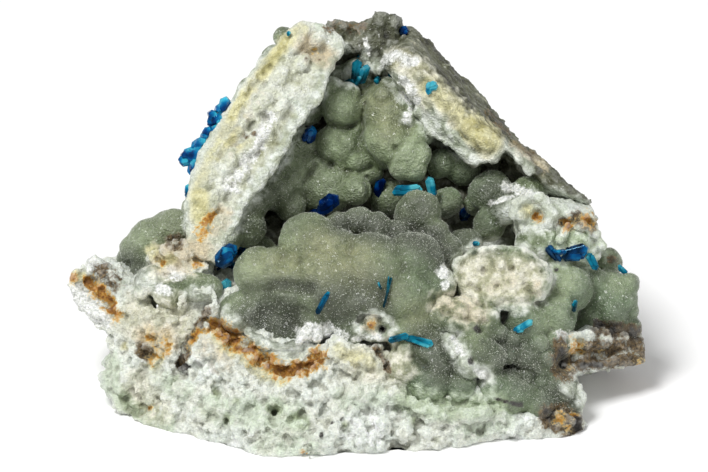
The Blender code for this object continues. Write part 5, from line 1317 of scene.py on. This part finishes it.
def build_crystals(rocks):
    """Every crystal or cluster with its side growths, seated on the rock."""
    blue = veszelyite("veszelyite_blue", BLUE_SHADES, SEA_SHADES, "#4fb0f0")
    teal = veszelyite("veszelyite_teal", TEAL_SHADES, TEAL_SHADES, "#5fd4d4")
    draw = random.Random(5)
    for name, blades in CRYSTALS.items():
        count, lean = GROWTHS.get(name, (2, 8.0))
        made = []
        for across, up, length, width, thickness, turn, tip, *lie in blades:
            out = lie[0] if lie else surface_out(across, up, rocks)
            shade = BRIGHTNESS_AND_SHADE.get(name, 0.5) + draw.uniform(-0.15, 0.15)
            for growth in range(count + 1):
                size = 1.0 if growth == 0 else draw.uniform(0.55, 0.85)
                blade = add_blade(
                    length * size, width * size, thickness * draw.uniform(0.8, 1.1),
                    min(1.0, max(0.0, shade + draw.uniform(-0.25, 0.25))),
                )
                keep_mask(blade, "green", np.full(len(blade.data.vertices), GREENNESS.get(name, 0.0)))
                slide = Vector((draw.uniform(-0.22, 0.22) * length, draw.uniform(-0.3, 0.3) * width, 0.0))
                spin = draw.uniform(-lean, lean)
                if growth == 0:
                    slide, spin = Vector(), 0.0
                # Just clear of the rock, each growth a little above the last.
                place = (
                    Matrix.Translation((across, up, out + 0.2 + 0.05 * growth))
                    @ Matrix.Rotation(math.radians(turn + spin), 4, "Z")
                    @ Matrix.Rotation(-math.radians(tip + 0.6 * spin), 4, "Y")
                    @ Matrix.Translation(slide)
                )
                blade.data.transform(TO_PART @ place)
                made.append(blade)
        body = made[0]
        join(body, made[1:])
        apply_modifier(body, "BEVEL", width=0.02 * MM, segments=1, limit_method="ANGLE")
        body.name = name + "_look"
        body.data.name = body.name
        material, slot = (teal, "veszelyite_teal") if name in TEAL else (blue, "veszelyite_blue")
        dress(body, material, (name,), smooth=False)


def build_stage():
    """A plain pale floor and soft studio light."""
    bpy.ops.mesh.primitive_plane_add(size=2.0, location=(0.0, 0.0, 0.0))
    floor = bpy.context.object
    floor.name = "floor"
    paper = bpy.data.materials.new("matt_paper")
    paper.use_nodes = True
    shader = paper.node_tree.nodes["Principled BSDF"]
    shader.inputs["Base Color"].default_value = linear("#fafafa")
    shader.inputs["Roughness"].default_value = 0.9
    floor.data.materials.append(paper)

    world = bpy.data.worlds.new("soft_room")
    bpy.context.scene.world = world
    world.use_nodes = True
    world.node_tree.nodes["Background"].inputs["Color"].default_value = (1.0, 1.0, 1.0, 1.0)
    world.node_tree.nodes["Background"].inputs["Strength"].default_value = 0.42

    # Soft boxes as name: (place in metres, power in watts, width in metres).
    for name, place, power, width in (
        ("key_light", (-0.14, -0.12, 0.36), 1.35, 0.14),
        ("fill_light", (0.3, -0.25, 0.2), 0.35, 0.3),
    ):
        light = bpy.data.lights.new(name, "AREA")
        light.energy = power
        light.size = width
        lamp = bpy.data.objects.new(name, light)
        lamp.location = place
        lamp.rotation_euler = Vector(place).to_track_quat("Z", "Y").to_euler()
        bpy.context.scene.collection.objects.link(lamp)
    bpy.context.scene.view_settings.view_transform = "Standard"


# The photograph's width in pixels, and how many of them one metre at the specimen takes.
PHOTO_WIDTH = 708
PIXELS_PER_METRE = 17000


def build_camera():
    """A camera that looks straight at the display face from half a metre away."""
    distance = 0.5
    view_width = PHOTO_WIDTH / PIXELS_PER_METRE
    camera = bpy.data.cameras.new("camera")
    camera.sensor_width = 36.0
    camera.lens = camera.sensor_width * distance / view_width
    camera.clip_start = 0.01
    holder = bpy.data.objects.new("camera", camera)
    bpy.context.scene.collection.objects.link(holder)
    target = FACE_ZERO * MM
    away = Vector((0.0, -math.cos(FACE_LEAN), math.sin(FACE_LEAN)))
    holder.location = target + away * distance
    holder.rotation_euler = away.to_track_quat("Z", "Y").to_euler()
    bpy.context.scene.camera = holder


build_camera()
build_crystals(build_rock())
build_stage()
